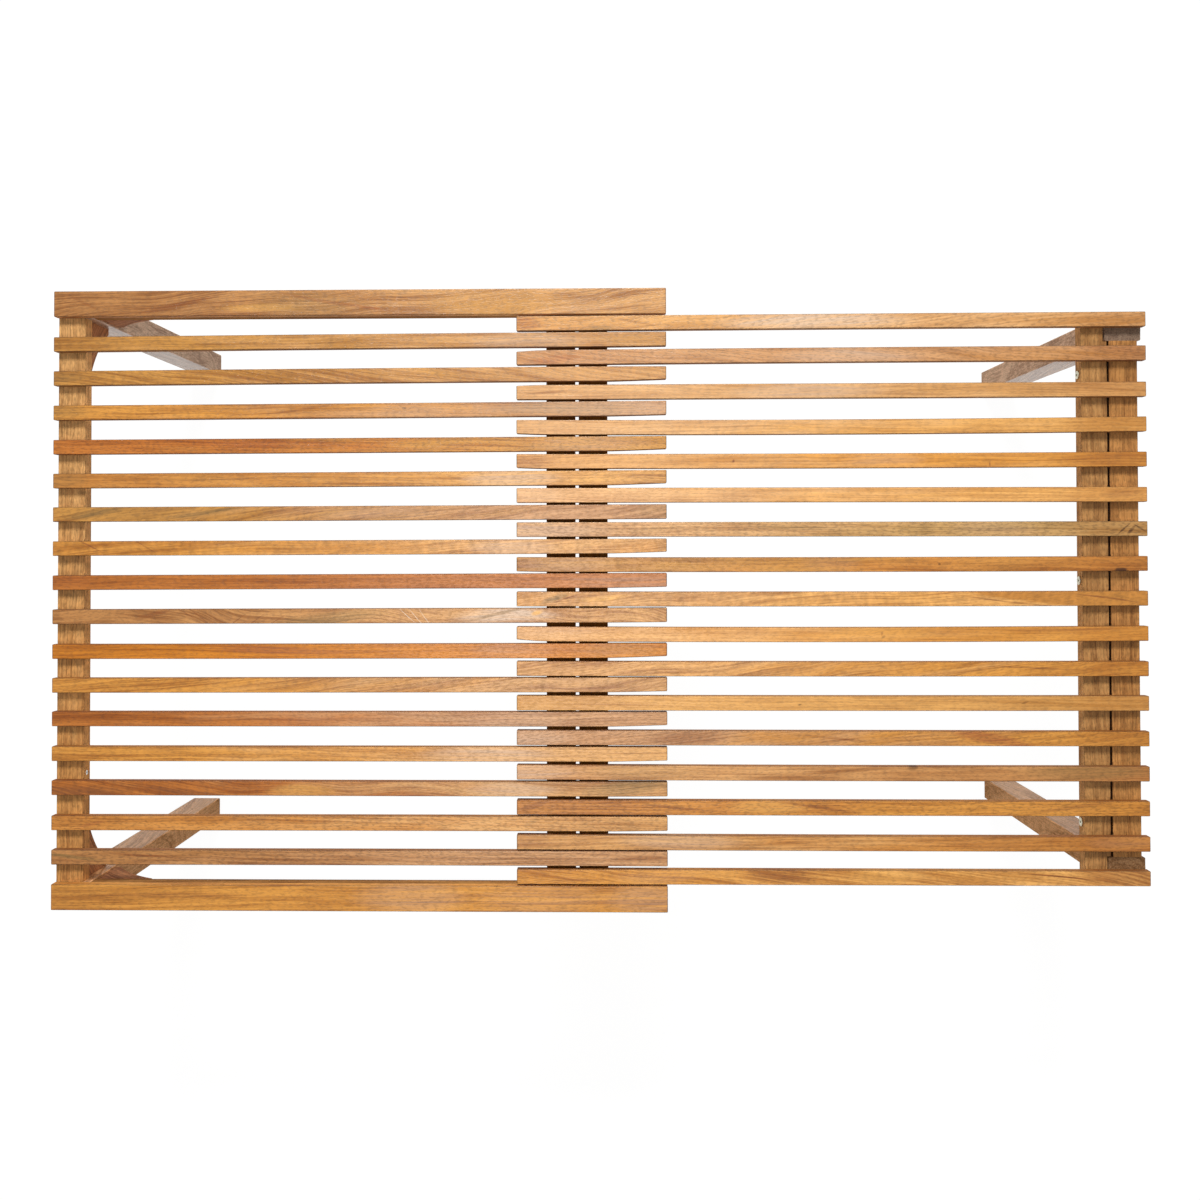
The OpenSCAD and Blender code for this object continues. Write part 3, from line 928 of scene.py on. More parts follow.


# Near the middle of the table the slats' tones, brightness and pale washes also carry part of the overhead
# softbox's sheen, as painted sheen.
FIXED_SLATS = (
    Slat(
        (-1.5, 1.2, 2.6), Tone.OCHRE, Tone.TAN, low=0.7,
        marks=(wash(0.55, 120, 0.22, Stain.PALE_AND_PAINTED_SHEEN), wash(0.92, 80, 0.25, Stain.GOLD)),
    ),
    Slat(
        (-1.5, 1.0, 2.6), Tone.OCHRE, Tone.TAN, Figure.SLANTED, low=2.6, high=0.6, brightness=1.04,
        marks=(
            Mark(-0.45, 0, 90, 3, 0.5, -0.10, Stain.STREAK),
            Mark(-0.98, 0, 60, 9, 0.5, 0.01, Stain.DUSK),
        ),
    ),
    Slat(
        (-2.0, -0.3, 1.8), Tone.AMBER, Tone.ROSE, low=1.5,
        marks=(
            wash(-0.98, 60, 0.5, Stain.DUSK),
            Mark(-0.2, 0, 70, 3, 0.5, 0.14, Stain.STREAK),
            Mark(0.15, 2, 5, 3, 0.5),
            wash(0.80, 220, 0.25, Stain.PALE_AND_PAINTED_SHEEN),
            wash(0.68, 150, 0.36, Stain.DUSK),
            wash(0.17, 80, 0.13, Stain.PALE_AND_PAINTED_SHEEN),
        ),
    ),
    Slat(
        (-2.5, -0.9, 0.6), Tone.RUSSET, Tone.OCHRE, Figure.SPECKLED, low=2.9, brightness=1.07,
        marks=(wash(0.75, 120, 0.14, Stain.PALE_AND_PAINTED_SHEEN), Mark(-0.3, 1, 150, 6, 0.5, -0.01, Stain.EMBER)),
    ),
    Slat(
        (-2.0, -0.6, 1.2), Tone.COPPER, Tone.HONEY, low=2.7, brightness=0.94,
        marks=(
            wash(-0.98, 60, 0.5, Stain.DUSK),
            Mark(-0.45, 0, 110, 1.5, 0.8, 0.03, Stain.STREAK),
            wash(-0.52, 90, 0.25, Stain.GOLD),
            wash(-0.15, 80, 0.25, Stain.TOAST),
            wash(0.50, 100, 0.4, Stain.PALE_AND_PAINTED_SHEEN),
            Mark(0.96, 0, 80, 16, 0.45, 0.05, Stain.STREAK),
        ),
    ),
    Slat(
        (-1.0, 0.1, 1.6), Tone.OCHRE, Tone.ROSE, Figure.SLANTED, low=0.3,
        marks=(
            Mark(-0.86, 0, 60, 8, 0.8, 0.12, Stain.DUSK),
            Mark(-0.5, 0, 75, 5, 0.8, 0.13, Stain.DUSK),
            Mark(-0.25, 2, 60, 3, 0.4, 0.13, Stain.STREAK),
            wash(0.97, 50, 0.4, Stain.DUSK),
            wash(-0.70, 170, 0.28, Stain.DUSK),
            wash(0.05, 130, 0.14, Stain.PALE_AND_PAINTED_SHEEN),
        ),
    ),
    Slat(
        (-0.8, 0.3, 1.9), Tone.AMBER, Tone.SAND, Figure.RIPPLED, low=2.4,
        marks=(
            Mark(-0.88, 0, 30, 1.8, 0.8, -0.5, Stain.STREAK),
            Mark(-0.70, 0, 26, 1.5, 0.7, -0.6, Stain.STREAK),
            wash(0.02, 210, 0.75, Stain.TOAST),
            wash(0.50, 90, 0.3, Stain.PALE_AND_PAINTED_SHEEN),
            wash(0.90, 80, 0.5, Stain.TOAST),
        ),
    ),
    Slat(
        (-0.8, 0.7, 2.0), Tone.RUSSET, Tone.RUSSET, low=1.6,
        marks=(wash(-0.97, 60, 0.3, Stain.EMBER), wash(0.9, 160, 0.14, Stain.PALE_AND_PAINTED_SHEEN)),
    ),
    Slat(
        (-0.5, 0.7, 1.8), Tone.UMBER, Tone.SAND, Figure.FLAMED, low=0.7,
        marks=(
            Mark(-0.66, 0, 40, 5, 0.8, 0.26, Stain.STREAK),
            Mark(-0.56, 1, 24, 1.2, 1.0, -0.5, Stain.STREAK),
            Mark(-0.52, 0, 22, 1.2, 1.0, -0.6, Stain.STREAK),
            Mark(-0.40, 0, 24, 1.0, 1.0, 0.7, Stain.STREAK),
            Mark(-0.34, 0, 24, 1.0, 1.0, 0.7, Stain.STREAK),
            Mark(-0.27, 0, 24, 1.0, 1.0, 0.6, Stain.STREAK),
            Mark(-0.1, 0, 110, 14, 0.75, 0.05, Stain.DUSK),
            wash(0.48, 100, 0.6, Stain.PALE_AND_PAINTED_SHEEN),
            Mark(0.45, 2, 60, 4, 0.6, 0.2, Stain.DUSK),
            Mark(0.16, 3, 16, 1.0, 1.0, -0.8, Stain.PALE_AND_PAINTED_SHEEN),
            Mark(0.19, 1, 16, 1.0, 1.0, -1.1, Stain.PALE_AND_PAINTED_SHEEN),
            Mark(0.22, 0, 14, 1.2, 0.9, -1.3, Stain.PALE_AND_PAINTED_SHEEN),
            Mark(0.58, 3, 12, 6, 0.8, 0.3, Stain.GOLD),
        ),
    ),
    Slat(
        (-1.3, -0.8, 0.5), Tone.ORANGE, Tone.ORANGE, low=3.0,
        marks=(
            Mark(0.80, -3, 40, 5, 0.6, -0.05, Stain.EMBER),
            wash(0.86, 90, 0.25, Stain.GOLD),
            Mark(-0.25, 1, 140, 9, 0.7, -0.03, Stain.EMBER),
            wash(-0.92, 90, 0.2, Stain.STREAK),
            wash(0.50, 80, 0.12, Stain.PALE_AND_PAINTED_SHEEN),
        ),
    ),
    Slat(
        (-0.5, 0.2, 1.0), Tone.AMBER, Tone.TAN, Figure.SLANTED, low=1.7,
        marks=(Mark(0.8, 0, 75, 2.5, 0.6, 0.02, Stain.STREAK),),
    ),
    Slat(
        (0.9, 1.1, 1.2), Tone.RUSSET, Tone.ROSE, low=2.7,
        marks=(wash(-0.18, 80, 0.35, Stain.EMBER), wash(0.5, 100, 0.12, Stain.PALE_AND_PAINTED_SHEEN)),
    ),
    Slat((0.2, 0.4, 0.6), Tone.AMBER, Tone.SAND, low=2.1, marks=(wash(0.42, 130, 0.34, Stain.PALE_AND_PAINTED_SHEEN),)),
    Slat(
        (0.8, 0.4, 0.2), Tone.RUSSET, Tone.TAN, Figure.FLAMED, low=0.7,
        marks=(
            Mark(-0.93, -3, 120, 8, 0.9, 0.03, Stain.STREAK),
            Mark(-0.55, 0, 110, 6, 0.9, -0.08, Stain.STREAK),
            Mark(-0.2, 5, 80, 3, 0.7, -0.04, Stain.STREAK),
            wash(-0.18, 70, 0.6, Stain.GOLD),
            wash(-0.17, 70, 0.25, Stain.TOAST),
            wash(0.50, 90, 0.35, Stain.PALE_AND_PAINTED_SHEEN),
            Mark(0.88, 0, 90, 16, 1.0, 0.02, Stain.DUSK),
        ),
    ),
    Slat(
        (-0.4, 0.2, 0.0), Tone.COPPER, Tone.SAND, Figure.SPECKLED, low=1.5,
        marks=(Mark(-0.87, -2, 30, 4, 0.5, 0.25, Stain.EMBER), Mark(0.56, 3, 14, 5, 0.5, 0.4, Stain.DUSK)),
    ),
    Slat(
        (-0.2, 0.5, 0.3), Tone.UMBER, Tone.ROSE, Figure.SPECKLED,
        marks=(
            Mark(-0.93, 1, 60, 4, 0.9, -0.12, Stain.DUSK),
            Mark(-0.68, 2, 80, 3, 0.8, -0.08, Stain.STREAK),
            Mark(0.93, 1, 70, 5, 0.7, 0.0, Stain.STREAK),
            wash(-0.15, 210, 0.22, Stain.STREAK),
        ),
    ),
)
SLIDING_SLATS = (
    Slat(
        (0.8, 2.0, 2.8), Tone.SAND, Tone.STRAW, Figure.DRIFTING,
        marks=(
            Mark(-0.98, 0, 40, 14, 0.6, 0.0, Stain.EMBER),
            Mark(-0.73, -8, 30, 5, 0.6, 0.0, Stain.DUSK),
            Mark(-0.62, 2, 45, 3, 0.5, -0.2, Stain.STREAK),
            Mark(-0.05, 2, 190, 16, 0.6, 0.0, Stain.PALE_AND_PAINTED_SHEEN),
            Mark(0.95, 0, 130, 14, 0.4, 0.0, Stain.STREAK),
            wash(0.80, 190, 0.5, Stain.TOAST),
        ),
    ),
    Slat(
        (1.2, 3.2, 4.0), Tone.ROSE, Tone.ROSE, Figure.DRIFTING, high=2.4, brightness=1.04,
        marks=(
            Mark(-0.88, 0, 50, 8, 0.5, 0.13, Stain.EMBER),
            Mark(0.06, 2, 140, 16, 0.3, 0.0, Stain.PALE_AND_PAINTED_SHEEN),
            Mark(0.88, 0, 100, 14, 0.45, 0.05, Stain.STREAK),
            wash(0.65, 200, 0.4, Stain.TOAST),
        ),
    ),
    Slat(
        (0.5, 0.9, 1.4), Tone.STRAW, Tone.SAND, Figure.CALM, high=1.4,
        marks=(wash(-0.08, 150, 0.32, Stain.PALE_AND_PAINTED_SHEEN), Mark(-0.9, 0, 60, 3, 0.4, 0.08, Stain.STREAK)),
    ),
    Slat(
        (-0.5, -1.7, 1.2), Tone.STRAW, Tone.HONEY, Figure.CALM, low=1.5, brightness=0.98,
        marks=(wash(0.92, 110, 0.5, Stain.TOAST), wash(0.17, 90, 0.3, Stain.TOAST)),
    ),
    Slat(
        (-0.2, -0.8, 0.4), Tone.SAND, Tone.AMBER, Figure.CALM, low=1.6, brightness=1.1,
        marks=(
            Mark(-0.98, 0, 70, 14, 0.6, 0.0, Stain.STREAK),
            Mark(-0.307, -1, 2.5, 3, 1.0, 0.2, Stain.STREAK),
            Mark(0.505, -7, 1.5, 6, 0.8, 0.1, Stain.STREAK),
            Mark(0.9, 0, 90, 14, 0.5, 0.0, Stain.STREAK),
            wash(0.17, 80, 0.12, Stain.PALE_AND_PAINTED_SHEEN),
        ),
    ),
    Slat(
        (0.3, 0.2, -0.6), Tone.STRAW, Tone.HONEY, Figure.CALM, brightness=1.06,
        marks=(wash(-0.95, 60, 0.15, Stain.PALE_AND_PAINTED_SHEEN), Mark(0.92, 2, 40, 10, 0.4, 0.08, Stain.STREAK)),
    ),
    Slat(
        (0.7, 0.5, 0.2), Tone.STRAW, Tone.OLIVE, Figure.SPECKLED, brightness=0.92,
        marks=(
            Mark(0.925, 0, 14, 2.4, 0.8, 0.9, Stain.KNOT),
            Mark(0.948, -2, 9, 5.0, 0.8, 1.0, Stain.KNOT),
            Mark(0.975, 2, 12, 2.2, 0.8, -0.6, Stain.KNOT),
            wash(-0.95, 150, 0.28, Stain.PALE_AND_PAINTED_SHEEN),
            Mark(0.30, 0, 14, 14, 0.5, 0.0, Stain.DUSK),
            Mark(-0.1, 2, 90, 5, 0.5, -0.03, Stain.DUSK),
            wash(-0.20, 100, 0.18, Stain.DUSK),
            wash(0.52, 90, 0.12, Stain.PALE_AND_PAINTED_SHEEN),
        ),
    ),
    Slat(
        (0.0, -0.8, 0.2), Tone.OCHRE, Tone.COPPER, low=0.9,
        marks=(
            Mark(0.915, -10.5, 13, 6, 1.5, 0.01),
            wash(0.0, 60, 0.08, Stain.PALE_AND_PAINTED_SHEEN),
            wash(0.98, 90, 0.3, Stain.STREAK),
            Mark(0.344, 0, 3, 2, 0.8),
            Mark(-0.98, 0, 45, 10, 0.5, 0.0, Stain.STREAK),
            wash(-0.85, 100, 0.14, Stain.PALE_AND_PAINTED_SHEEN),
            wash(0.52, 100, 0.17, Stain.GOLD),
        ),
    ),
    Slat(
        (0.0, -0.6, 0.2), Tone.SAND, Tone.HONEY, Figure.RIPPLED, brightness=1.02,
        marks=(
            Mark(-0.88, 0, 30, 7, 0.8, 0.30, Stain.DUSK),
            Mark(-0.84, 0, 34, 1.5, 0.9, 0.35, Stain.STREAK),
            wash(-0.97, 40, 0.4, Stain.TOAST),
            Mark(-0.72, 0, 50, 6, 0.7, 0.1, Stain.GOLD),
            Mark(0.90, 5.4, 700, 30, 5.0, -0.135, Stain.TOAST),
            Mark(0.56, -2, 90, 1.5, 0.8, -0.12, Stain.STREAK),
            Mark(0.87, 0, 60, 2, 0.9, -0.15, Stain.STREAK),
        ),
    ),
    Slat(
        (-0.6, -2.2, -0.3), Tone.SAND, Tone.AMBER, Figure.CALM, low=3.0, brightness=1.1,
        marks=(
            Mark(0.161, 0, 2.5, 5, 1.0, 0.3, Stain.STREAK),
            Mark(0.166, -5, 4, 3, 0.8, 0.3, Stain.KNOT),
            Mark(0.75, 6, 130, 3, 0.6, 0.0, Stain.STREAK),
            wash(-0.9, 100, 0.12, Stain.PALE_AND_PAINTED_SHEEN),
            wash(0.15, 110, 0.35, Stain.GOLD),
        ),
    ),
    Slat(
        (-0.8, -1.6, -1.0), Tone.SAND, Tone.AMBER, Figure.SLANTED, brightness=1.02,
        marks=(
            wash(0.05, 170, 0.5, Stain.TOAST),
            Mark(0.65, 0, 90, 2.5, 0.7, -0.04, Stain.STREAK),
            wash(0.80, 110, 0.25, Stain.TOAST),
        ),
    ),
    Slat(
        (-0.5, -0.9, -0.5), Tone.HONEY, Tone.HONEY, Figure.CALM, brightness=0.91,
        marks=(
            Mark(0.61, 1, 8, 2, 0.8, 0.3),
            Mark(-0.1, -3, 4, 2, 0.6, 0.2),
            wash(0.8, 190, 0.65, Stain.TOAST),
            wash(-0.75, 150, 0.1, Stain.STREAK),
        ),
    ),
    Slat(
        (-0.6, -1.2, -1.4), Tone.ROSE, Tone.AMBER, Figure.DRIFTING, brightness=0.97,
        marks=(
            wash(-0.45, 80, 0.65, Stain.STREAK),
            wash(-0.95, 80, 0.22, Stain.PALE_AND_PAINTED_SHEEN),
            Mark(0.0, -2, 70, 3, 0.8, -0.12, Stain.STREAK),
            wash(-0.14, 110, 0.6, Stain.TOAST),
            wash(0.93, 70, 0.15, Stain.STREAK),
            Mark(0.5, 0, 80, 12, 0.8, -0.16, Stain.EMBER),
        ),
    ),
    Slat(
        (-0.5, -1.8, -1.6), Tone.TAN, Tone.UMBER, brightness=1.12,
        marks=(
            Mark(0.257, 7, 11, 6, 0.7, 0.1, Stain.KNOT),
            wash(0.80, 130, 0.7, Stain.DUSK),
            wash(-0.98, 110, 0.25, Stain.PALE_AND_PAINTED_SHEEN),
            wash(-0.60, 120, 0.32, Stain.DUSK),
        ),
    ),
    Slat(
        (-1.0, -1.4, -1.2), Tone.COPPER, Tone.AMBER, Figure.SPECKLED,
        marks=(
            Mark(-0.95, 0, 30, 7, 0.7, 0.3, Stain.STREAK),
            wash(-0.8, 150, 0.35, Stain.STREAK),
            wash(-0.2, 80, 0.5, Stain.GOLD),
            Mark(-0.5, 0, 60, 3, 0.7, -0.1, Stain.STREAK),
            Mark(-0.05, 0, 80, 3, 0.7, -0.14, Stain.STREAK),
            Mark(0.75, 0, 85, 4, 0.7, 0.16, Stain.STREAK),
            wash(0.55, 180, 0.55, Stain.TOAST),
        ),
    ),
    Slat(
        (-1.2, -2.2, -1.8), Tone.SAND, Tone.COPPER,
        marks=(
            wash(-0.97, 50, 0.4, Stain.STREAK),
            wash(-0.48, 120, 0.24, Stain.PALE_AND_PAINTED_SHEEN),
            wash(0.17, 80, 0.2, Stain.TOAST),
            Mark(0.5, 0, 75, 16, 0.45, 0.02, Stain.STREAK),
            wash(0.92, 80, 0.07, Stain.PALE_AND_PAINTED_SHEEN),
        ),
    ),
    Slat(
        (-1.0, -0.9, -0.8), Tone.AMBER, Tone.HONEY, Figure.SLANTED, brightness=1.04,
        marks=(
            Mark(-0.8, -6, 60, 3, 0.7, 0.03, Stain.STREAK),
            wash(-0.55, 90, 0.08, Stain.PALE_AND_PAINTED_SHEEN),
            wash(-0.17, 75, 0.7, Stain.STREAK),
            wash(0.17, 80, 0.4, Stain.GOLD),
            Mark(0.72, 0, 100, 1.5, 0.9, -0.09, Stain.STREAK),
            wash(0.50, 90, 0.4, Stain.TOAST),
            wash(0.95, 90, 0.6, Stain.STREAK),
        ),
    ),
)


@dataclass(frozen=True)
class EdgeBoards:
    """The two wide boards along the long edges of the fixed half."""

    body: str = "fixed_half"
    slot: str = "board_wood"
    edge: float = 1.4 * MM

    def build(self) -> None:
        """Builds, dresses and seats both boards."""
        looks = {
            "back": Timber(
                Tone.UMBER,
                Tone.TAN,
                Figure.FLAMED,
                marks=(
                    Mark(-0.578, 0, 85, 6, 0.9, 0.22, Stain.STREAK),
                    Mark(-0.08, 2, 110, 4, 0.7, -0.16, Stain.EMBER),
                    Mark(-0.32, -9, 85, 9, 0.6, 0.03, Stain.GOLD),
                    Mark(-0.9, 2, 30, 4, 0.6, -0.5, Stain.STREAK),
                    wash(0.45, 150, 0.4, Stain.GOLD, 30),
                    wash(-0.17, 110, 0.42, Stain.DUSK, 30),
                ),
                # Painted light on the back board's flanks, and painted shade on its rounded edges.
                flank_painted_shade=-0.4,
                arris_painted_shade=0.3,
            ),
            "front": Timber(
                Tone.AMBER,
                Tone.AMBER,
                Figure.STRAIGHT,
                marks=(
                    Mark(-0.6, 4, 150, 5, 0.5, -0.01, Stain.STREAK),
                    Mark(0.2, -6, 130, 5, 0.45, 0.01, Stain.STREAK),
                    Mark(0.93, -8, 45, 4, 0.7, 0.1, Stain.STREAK),
                    wash(-0.92, 90, 0.2, Stain.STREAK, 30),
                    wash(0.17, 110, 0.18, Stain.PALE_AND_PAINTED_SHEEN, 30),
                    wash(0.60, 130, 0.10, Stain.PALE_AND_PAINTED_SHEEN, 30),
                    wash(0.93, 80, 0.18, Stain.PALE_AND_PAINTED_SHEEN, 30),
                ),
                # Painted light on the front board's flanks.
                flank_painted_shade=-0.1,
            ),
        }
        for seed, (side, timber) in enumerate(looks.items(), Seed.BOARDS):
            node = f"edge_board_{side}"
            low, high = corners(node)
            piece = Bar(low, high, edge=self.edge).build(f"board_{side}")
            piece.data.materials.append(timber.material(piece.name, low, high, seed))
            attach(piece, self.body)
            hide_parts(node)
            log_piece(piece, self.body)


# Rails and legs


def dress(node: str, timber: Timber, seed: int) -> None:
    """Gives a CAD node that keeps its shape its own cut of timber.

    Args:
        node: The node's name.
        timber: Its finish.
        seed: Picks where in the log it was cut.
    """
    low, high = corners(node)
    material = timber.material(node, low, high, seed)
    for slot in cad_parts[node].material_slots:
        slot.material = material
    LOG.info("%s keeps its CAD shape", node)


@dataclass(frozen=True)
class Rails:
    """The rails under the slats."""

    across: Sequence[str] = (
        "end_rail_left",
        "middle_rail",
        "stop_rail",
        "inner_rail_right",
        "end_rail_right",
    )
    lengthways: Sequence[str] = ("side_rail_front", "side_rail_back")

    def build(self) -> None:
        """Dresses every rail."""
        # Painted light on the flanks of the rails across the table.
        plain = Timber(Tone.RAIL, Tone.PALERAIL, Figure.FINE, ALONG_Y, sheen=0.2, flank_painted_shade=-0.25)
        even = replace(plain, far_tone=None)
        # Painted shade: the orange tone and the darkened tops stand in for the deep, warm shade that falls
        # on these rails in the narrow gaps between the slats.
        dark = replace(
            even, tone=Tone.ORANGE, figure=Figure.SPECKLED, roughness=0.8, sheen=0.1, top_painted_shade=0.74
        )
        looks = {
            "middle_rail": dark,
            "stop_rail": dark,
            # Joint sides: painted shade in the open gap between the two right rails; painted light on the
            # inner rail's flanks.
            "inner_rail_right": replace(even, tone=Tone.INRAIL, joint_side=1, flank_painted_shade=-0.34),
            "end_rail_right": replace(even, tone=Tone.OUTRAIL, joint_side=-1),
        }
        for seed, node in enumerate(self.across, Seed.RAILS):
            dress(node, looks.get(node, plain), seed)
        for seed, node in enumerate(self.lengthways, Seed.SIDE_RAILS):
            # Painted shade on the side rails' flanks.
            timber = Timber(Tone.RAIL, None, Figure.STRAIGHT, roughness=0.6, sheen=0.1, flank_painted_shade=0.2)
            dress(node, timber, seed)


@dataclass(frozen=True)
class Legs:
    """The four legs and the braces under the rails."""

    def build(self) -> None:
        """Dresses legs and braces."""
        slope = math.sqrt(0.5)
        front = Timber(
            Tone.FAWN,
            None,
            Figure.SLANTED,
            ALONG_Z,
            roughness=0.45,
            sheen=0.2,
            end_dark=0.62,
            # Painted highlight along the legs' rounded edges.
            arris_painted_shade=-0.15,
        )
        # The back legs' greyer tones are painted light: the cast that the white floor's reflection and
        # bounce give their faces.
        back = replace(front, tone=Tone.PAINTED_BOUNCE_GREY, roughness=0.33, sheen=0.45)
        looks = {
            ("left", "front"): front,
            ("left", "back"): back,
            ("right", "front"): front,
            ("right", "back"): replace(back, tone=Tone.PAINTED_BOUNCE_FAWN, brightness=1.08),
        }
        # Painted shade on the braces' rounded edges.
        brace = Timber(Tone.CHESTNUT, None, Figure.STRAIGHT, roughness=0.7, sheen=0.08, arris_painted_shade=0.1)
        for number, ((end, side), leg) in enumerate(looks.items()):
            dress(f"leg_{end}_{side}", leg, Seed.LEGS + number)
            inward = slope if side == "front" else -slope
            lay = Lay((0, inward, slope), (0, slope, -inward))
            dress(f"end_brace_{end}_{side}", replace(brace, lay=lay), Seed.END_BRACES + number)
            if end == "left":
                lay = Lay((slope, 0, slope), (slope, 0, -slope))
                dress(f"side_brace_{end}_{side}", replace(brace, lay=lay), Seed.SIDE_BRACES + number)


# Fasteners


@dataclass(frozen=True)
class Fastener:
    """Where one screw or bolt of a CAD node sits."""

    head: Vector
    way: Vector
    length: float

    def matrix(self) -> Matrix:
        """Moves a fastener drawn along +Z from the origin to its place."""
        turn = self.way.to_track_quat("Z", "Y").to_matrix().to_4x4()
        return Matrix.Translation(self.head) @ turn


def fasteners_in(node: str, head_radius: float) -> list[Fastener]:
    """Finds each separate solid of a fastener node.

    Args:
        node: The CAD node's name.
        head_radius: The radius that only a head reaches.

    Returns:
        One entry for each solid, in the mesh's order.
    """
    work = bmesh.new()
    work.from_mesh(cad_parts[node].data)
    bmesh.ops.remove_doubles(work, verts=work.verts, dist=0.01 * MM)
    found, seen = [], set()
    for start in work.verts:
        if start in seen:
            continue
        island, waiting = [], [start]
        seen.add(start)
        while waiting:
            here = waiting.pop()
            island.append(here.co.copy())
            for edge in here.link_edges:
                other = edge.other_vert(here)
                if other not in seen:
                    seen.add(other)
                    waiting.append(other)
        found.append(_fastener(island, head_radius))
    work.free()
    return found


def _fastener(points: list[Vector], head_radius: float) -> Fastener:
    """Reads a fastener's place from its points.

    Args:
        points: The corners of its solid.
        head_radius: The radius that only a head reaches.

    Returns:
        Its head's face, direction and length.
    """
    low = Vector(min(p[k] for p in points) for k in range(3))
    high = Vector(max(p[k] for p in points) for k in range(3))
    size, middle = high - low, (low + high) / 2
    axis = max(range(3), key=lambda k: size[k])
    way = Vector((0, 0, 0))
    way[axis] = 1
    head_points = [
        p for p in points if ((p - middle) - way * (p - middle).dot(way)).length > head_radius * 0.97
    ]
    if sum((p - middle).dot(way) for p in head_points) > 0:
        way = -way
    return Fastener(middle - way * (size[axis] / 2), way, size[axis])


@dataclass(frozen=True)
class Screws:
    """Countersunk wood screws with a cut thread and a cross recess.

    The recess is its arms' reach, half their width, and its depth.
    """

    node: str
    body: str
    head_d: float = 8.0 * MM
    shank_d: float = 4.0 * MM
    head_h: float = 2.6 * MM
    point: float = 5.0 * MM
    pitch: float = 1.8 * MM
    thread: float = 0.35 * MM
    tip_r: float = 0.5 * MM
    rim: float = 0.25 * MM
    recess: tuple[float, float, float] = (2.24 * MM, 0.44 * MM, 1.6 * MM)
    sides: int = 24

    def build(self, metal: bpy.types.Material) -> None:
        """Builds the group of screws and seats it.

        Args:
            metal: Their plating.
        """
        made = bmesh.new()
        for fastener in fasteners_in(self.node, self.head_d / 2):
            self._screw(made, fastener)
        piece = as_piece(made, self.node.replace("screw", "steel_screw"))
        piece.data.materials.append(metal)
        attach(piece, self.body)
        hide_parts(self.node)
        log_piece(piece, self.body)

    def _screw(self, made: bmesh.types.BMesh, fastener: Fastener) -> None:
        """Adds one screw.

        Args:
            made: The mesh of the whole group.
            fastener: Where it goes.
        """
        place = fastener.matrix()
        top, outer = self.head_d / 2, self.shank_d / 2
        head = [(top - self.rim, 0.0), (top, self.rim), (outer, self.head_h)]
        rows = lathe(made, head, self.sides, place)
        reach, half, depth = self.recess
        pit(made, rows[0], cross(reach, half), depth, place)
        root = outer - self.thread
        start, stop = self.head_h, fastener.length - self.point
        turns = int((stop - start) / self.pitch * 2)
        shank = [
            (outer if k % 2 == 0 else root, start + (stop - start) * k / turns) for k in range(turns + 1)
        ]
        shank += [(outer * 0.6, stop + self.point * 0.5), (self.tip_r, fastener.length)]
        last = lathe(made, shank, self.sides // 2, place)
        made.faces.new(reversed(last[-1]))


def lathe(
    made: bmesh.types.BMesh, profile: Sequence[tuple[float, float]], sides: int, place: Matrix
) -> list[list[bmesh.types.BMVert]]:
    """Turns a profile about +Z.

    Args:
        made: The mesh to add to.
        profile: Radius and height of each ring.
        sides: Corners in a ring.
        place: Where the turned shape goes.

    Returns:
        The rings.
    """
    rows = []
    for radius, height in profile:
        turn = (2 * math.pi * k / sides for k in range(sides))
        rows.append(
            [
                made.verts.new(place @ Vector((radius * math.cos(a), radius * math.sin(a), height)))
                for a in turn
            ]
        )
    for a, b in zip(rows, rows[1:]):
        for k in range(sides):
            j = (k + 1) % sides
            made.faces.new((a[k], a[j], b[j], b[k]))
    return rows


def cross(reach: float, half: float) -> list[tuple[float, float]]:
    """Outline of a cross recess, in order."""
    arm = ((reach, -half), (reach, half), (half, half))
    return [(x * c - y * s, x * s + y * c) for c, s in ((1, 0), (0, 1), (-1, 0), (0, -1)) for x, y in arm]


def hexagon(flats: float) -> list[tuple[float, float]]:
    """Outline of a hexagon socket, in order."""
    radius = flats / math.sqrt(3)
    return [(radius * math.cos(math.pi / 3 * k), radius * math.sin(math.pi / 3 * k)) for k in range(6)]


def pit(
    made: bmesh.types.BMesh,
    rim: list[bmesh.types.BMVert],
    outline: list[tuple[float, float]],
    depth: float,
    place: Matrix,
    taper: float = 0.7,
) -> None:
    """Closes a head's face with a recess in it.

    Args:
        made: The mesh to add to.
        rim: The ring round the face.
        outline: The recess, on the face.
        depth: How deep it goes.
        place: Where the fastener sits.
        taper: The width of its foot as a share of its mouth.
    """
    height = (place.inverted() @ rim[0].co).z
    top = [made.verts.new(place @ Vector((x, y, height))) for x, y in outline]
    foot = [Vector((x * taper, y * taper, height + depth)) for x, y in outline]
    base = [made.verts.new(place @ point) for point in foot]
    loops = [
        made.edges.get((a, b)) or made.edges.new((a, b))
        for ring in (rim, top)
        for a, b in zip(ring, ring[1:] + ring[:1])
    ]
    bmesh.ops.triangle_fill(made, use_beauty=True, edges=loops)
    for k in range(len(top)):
        j = (k + 1) % len(top)
        made.faces.new((top[k], top[j], base[j], base[k]))
    made.faces.new(base)


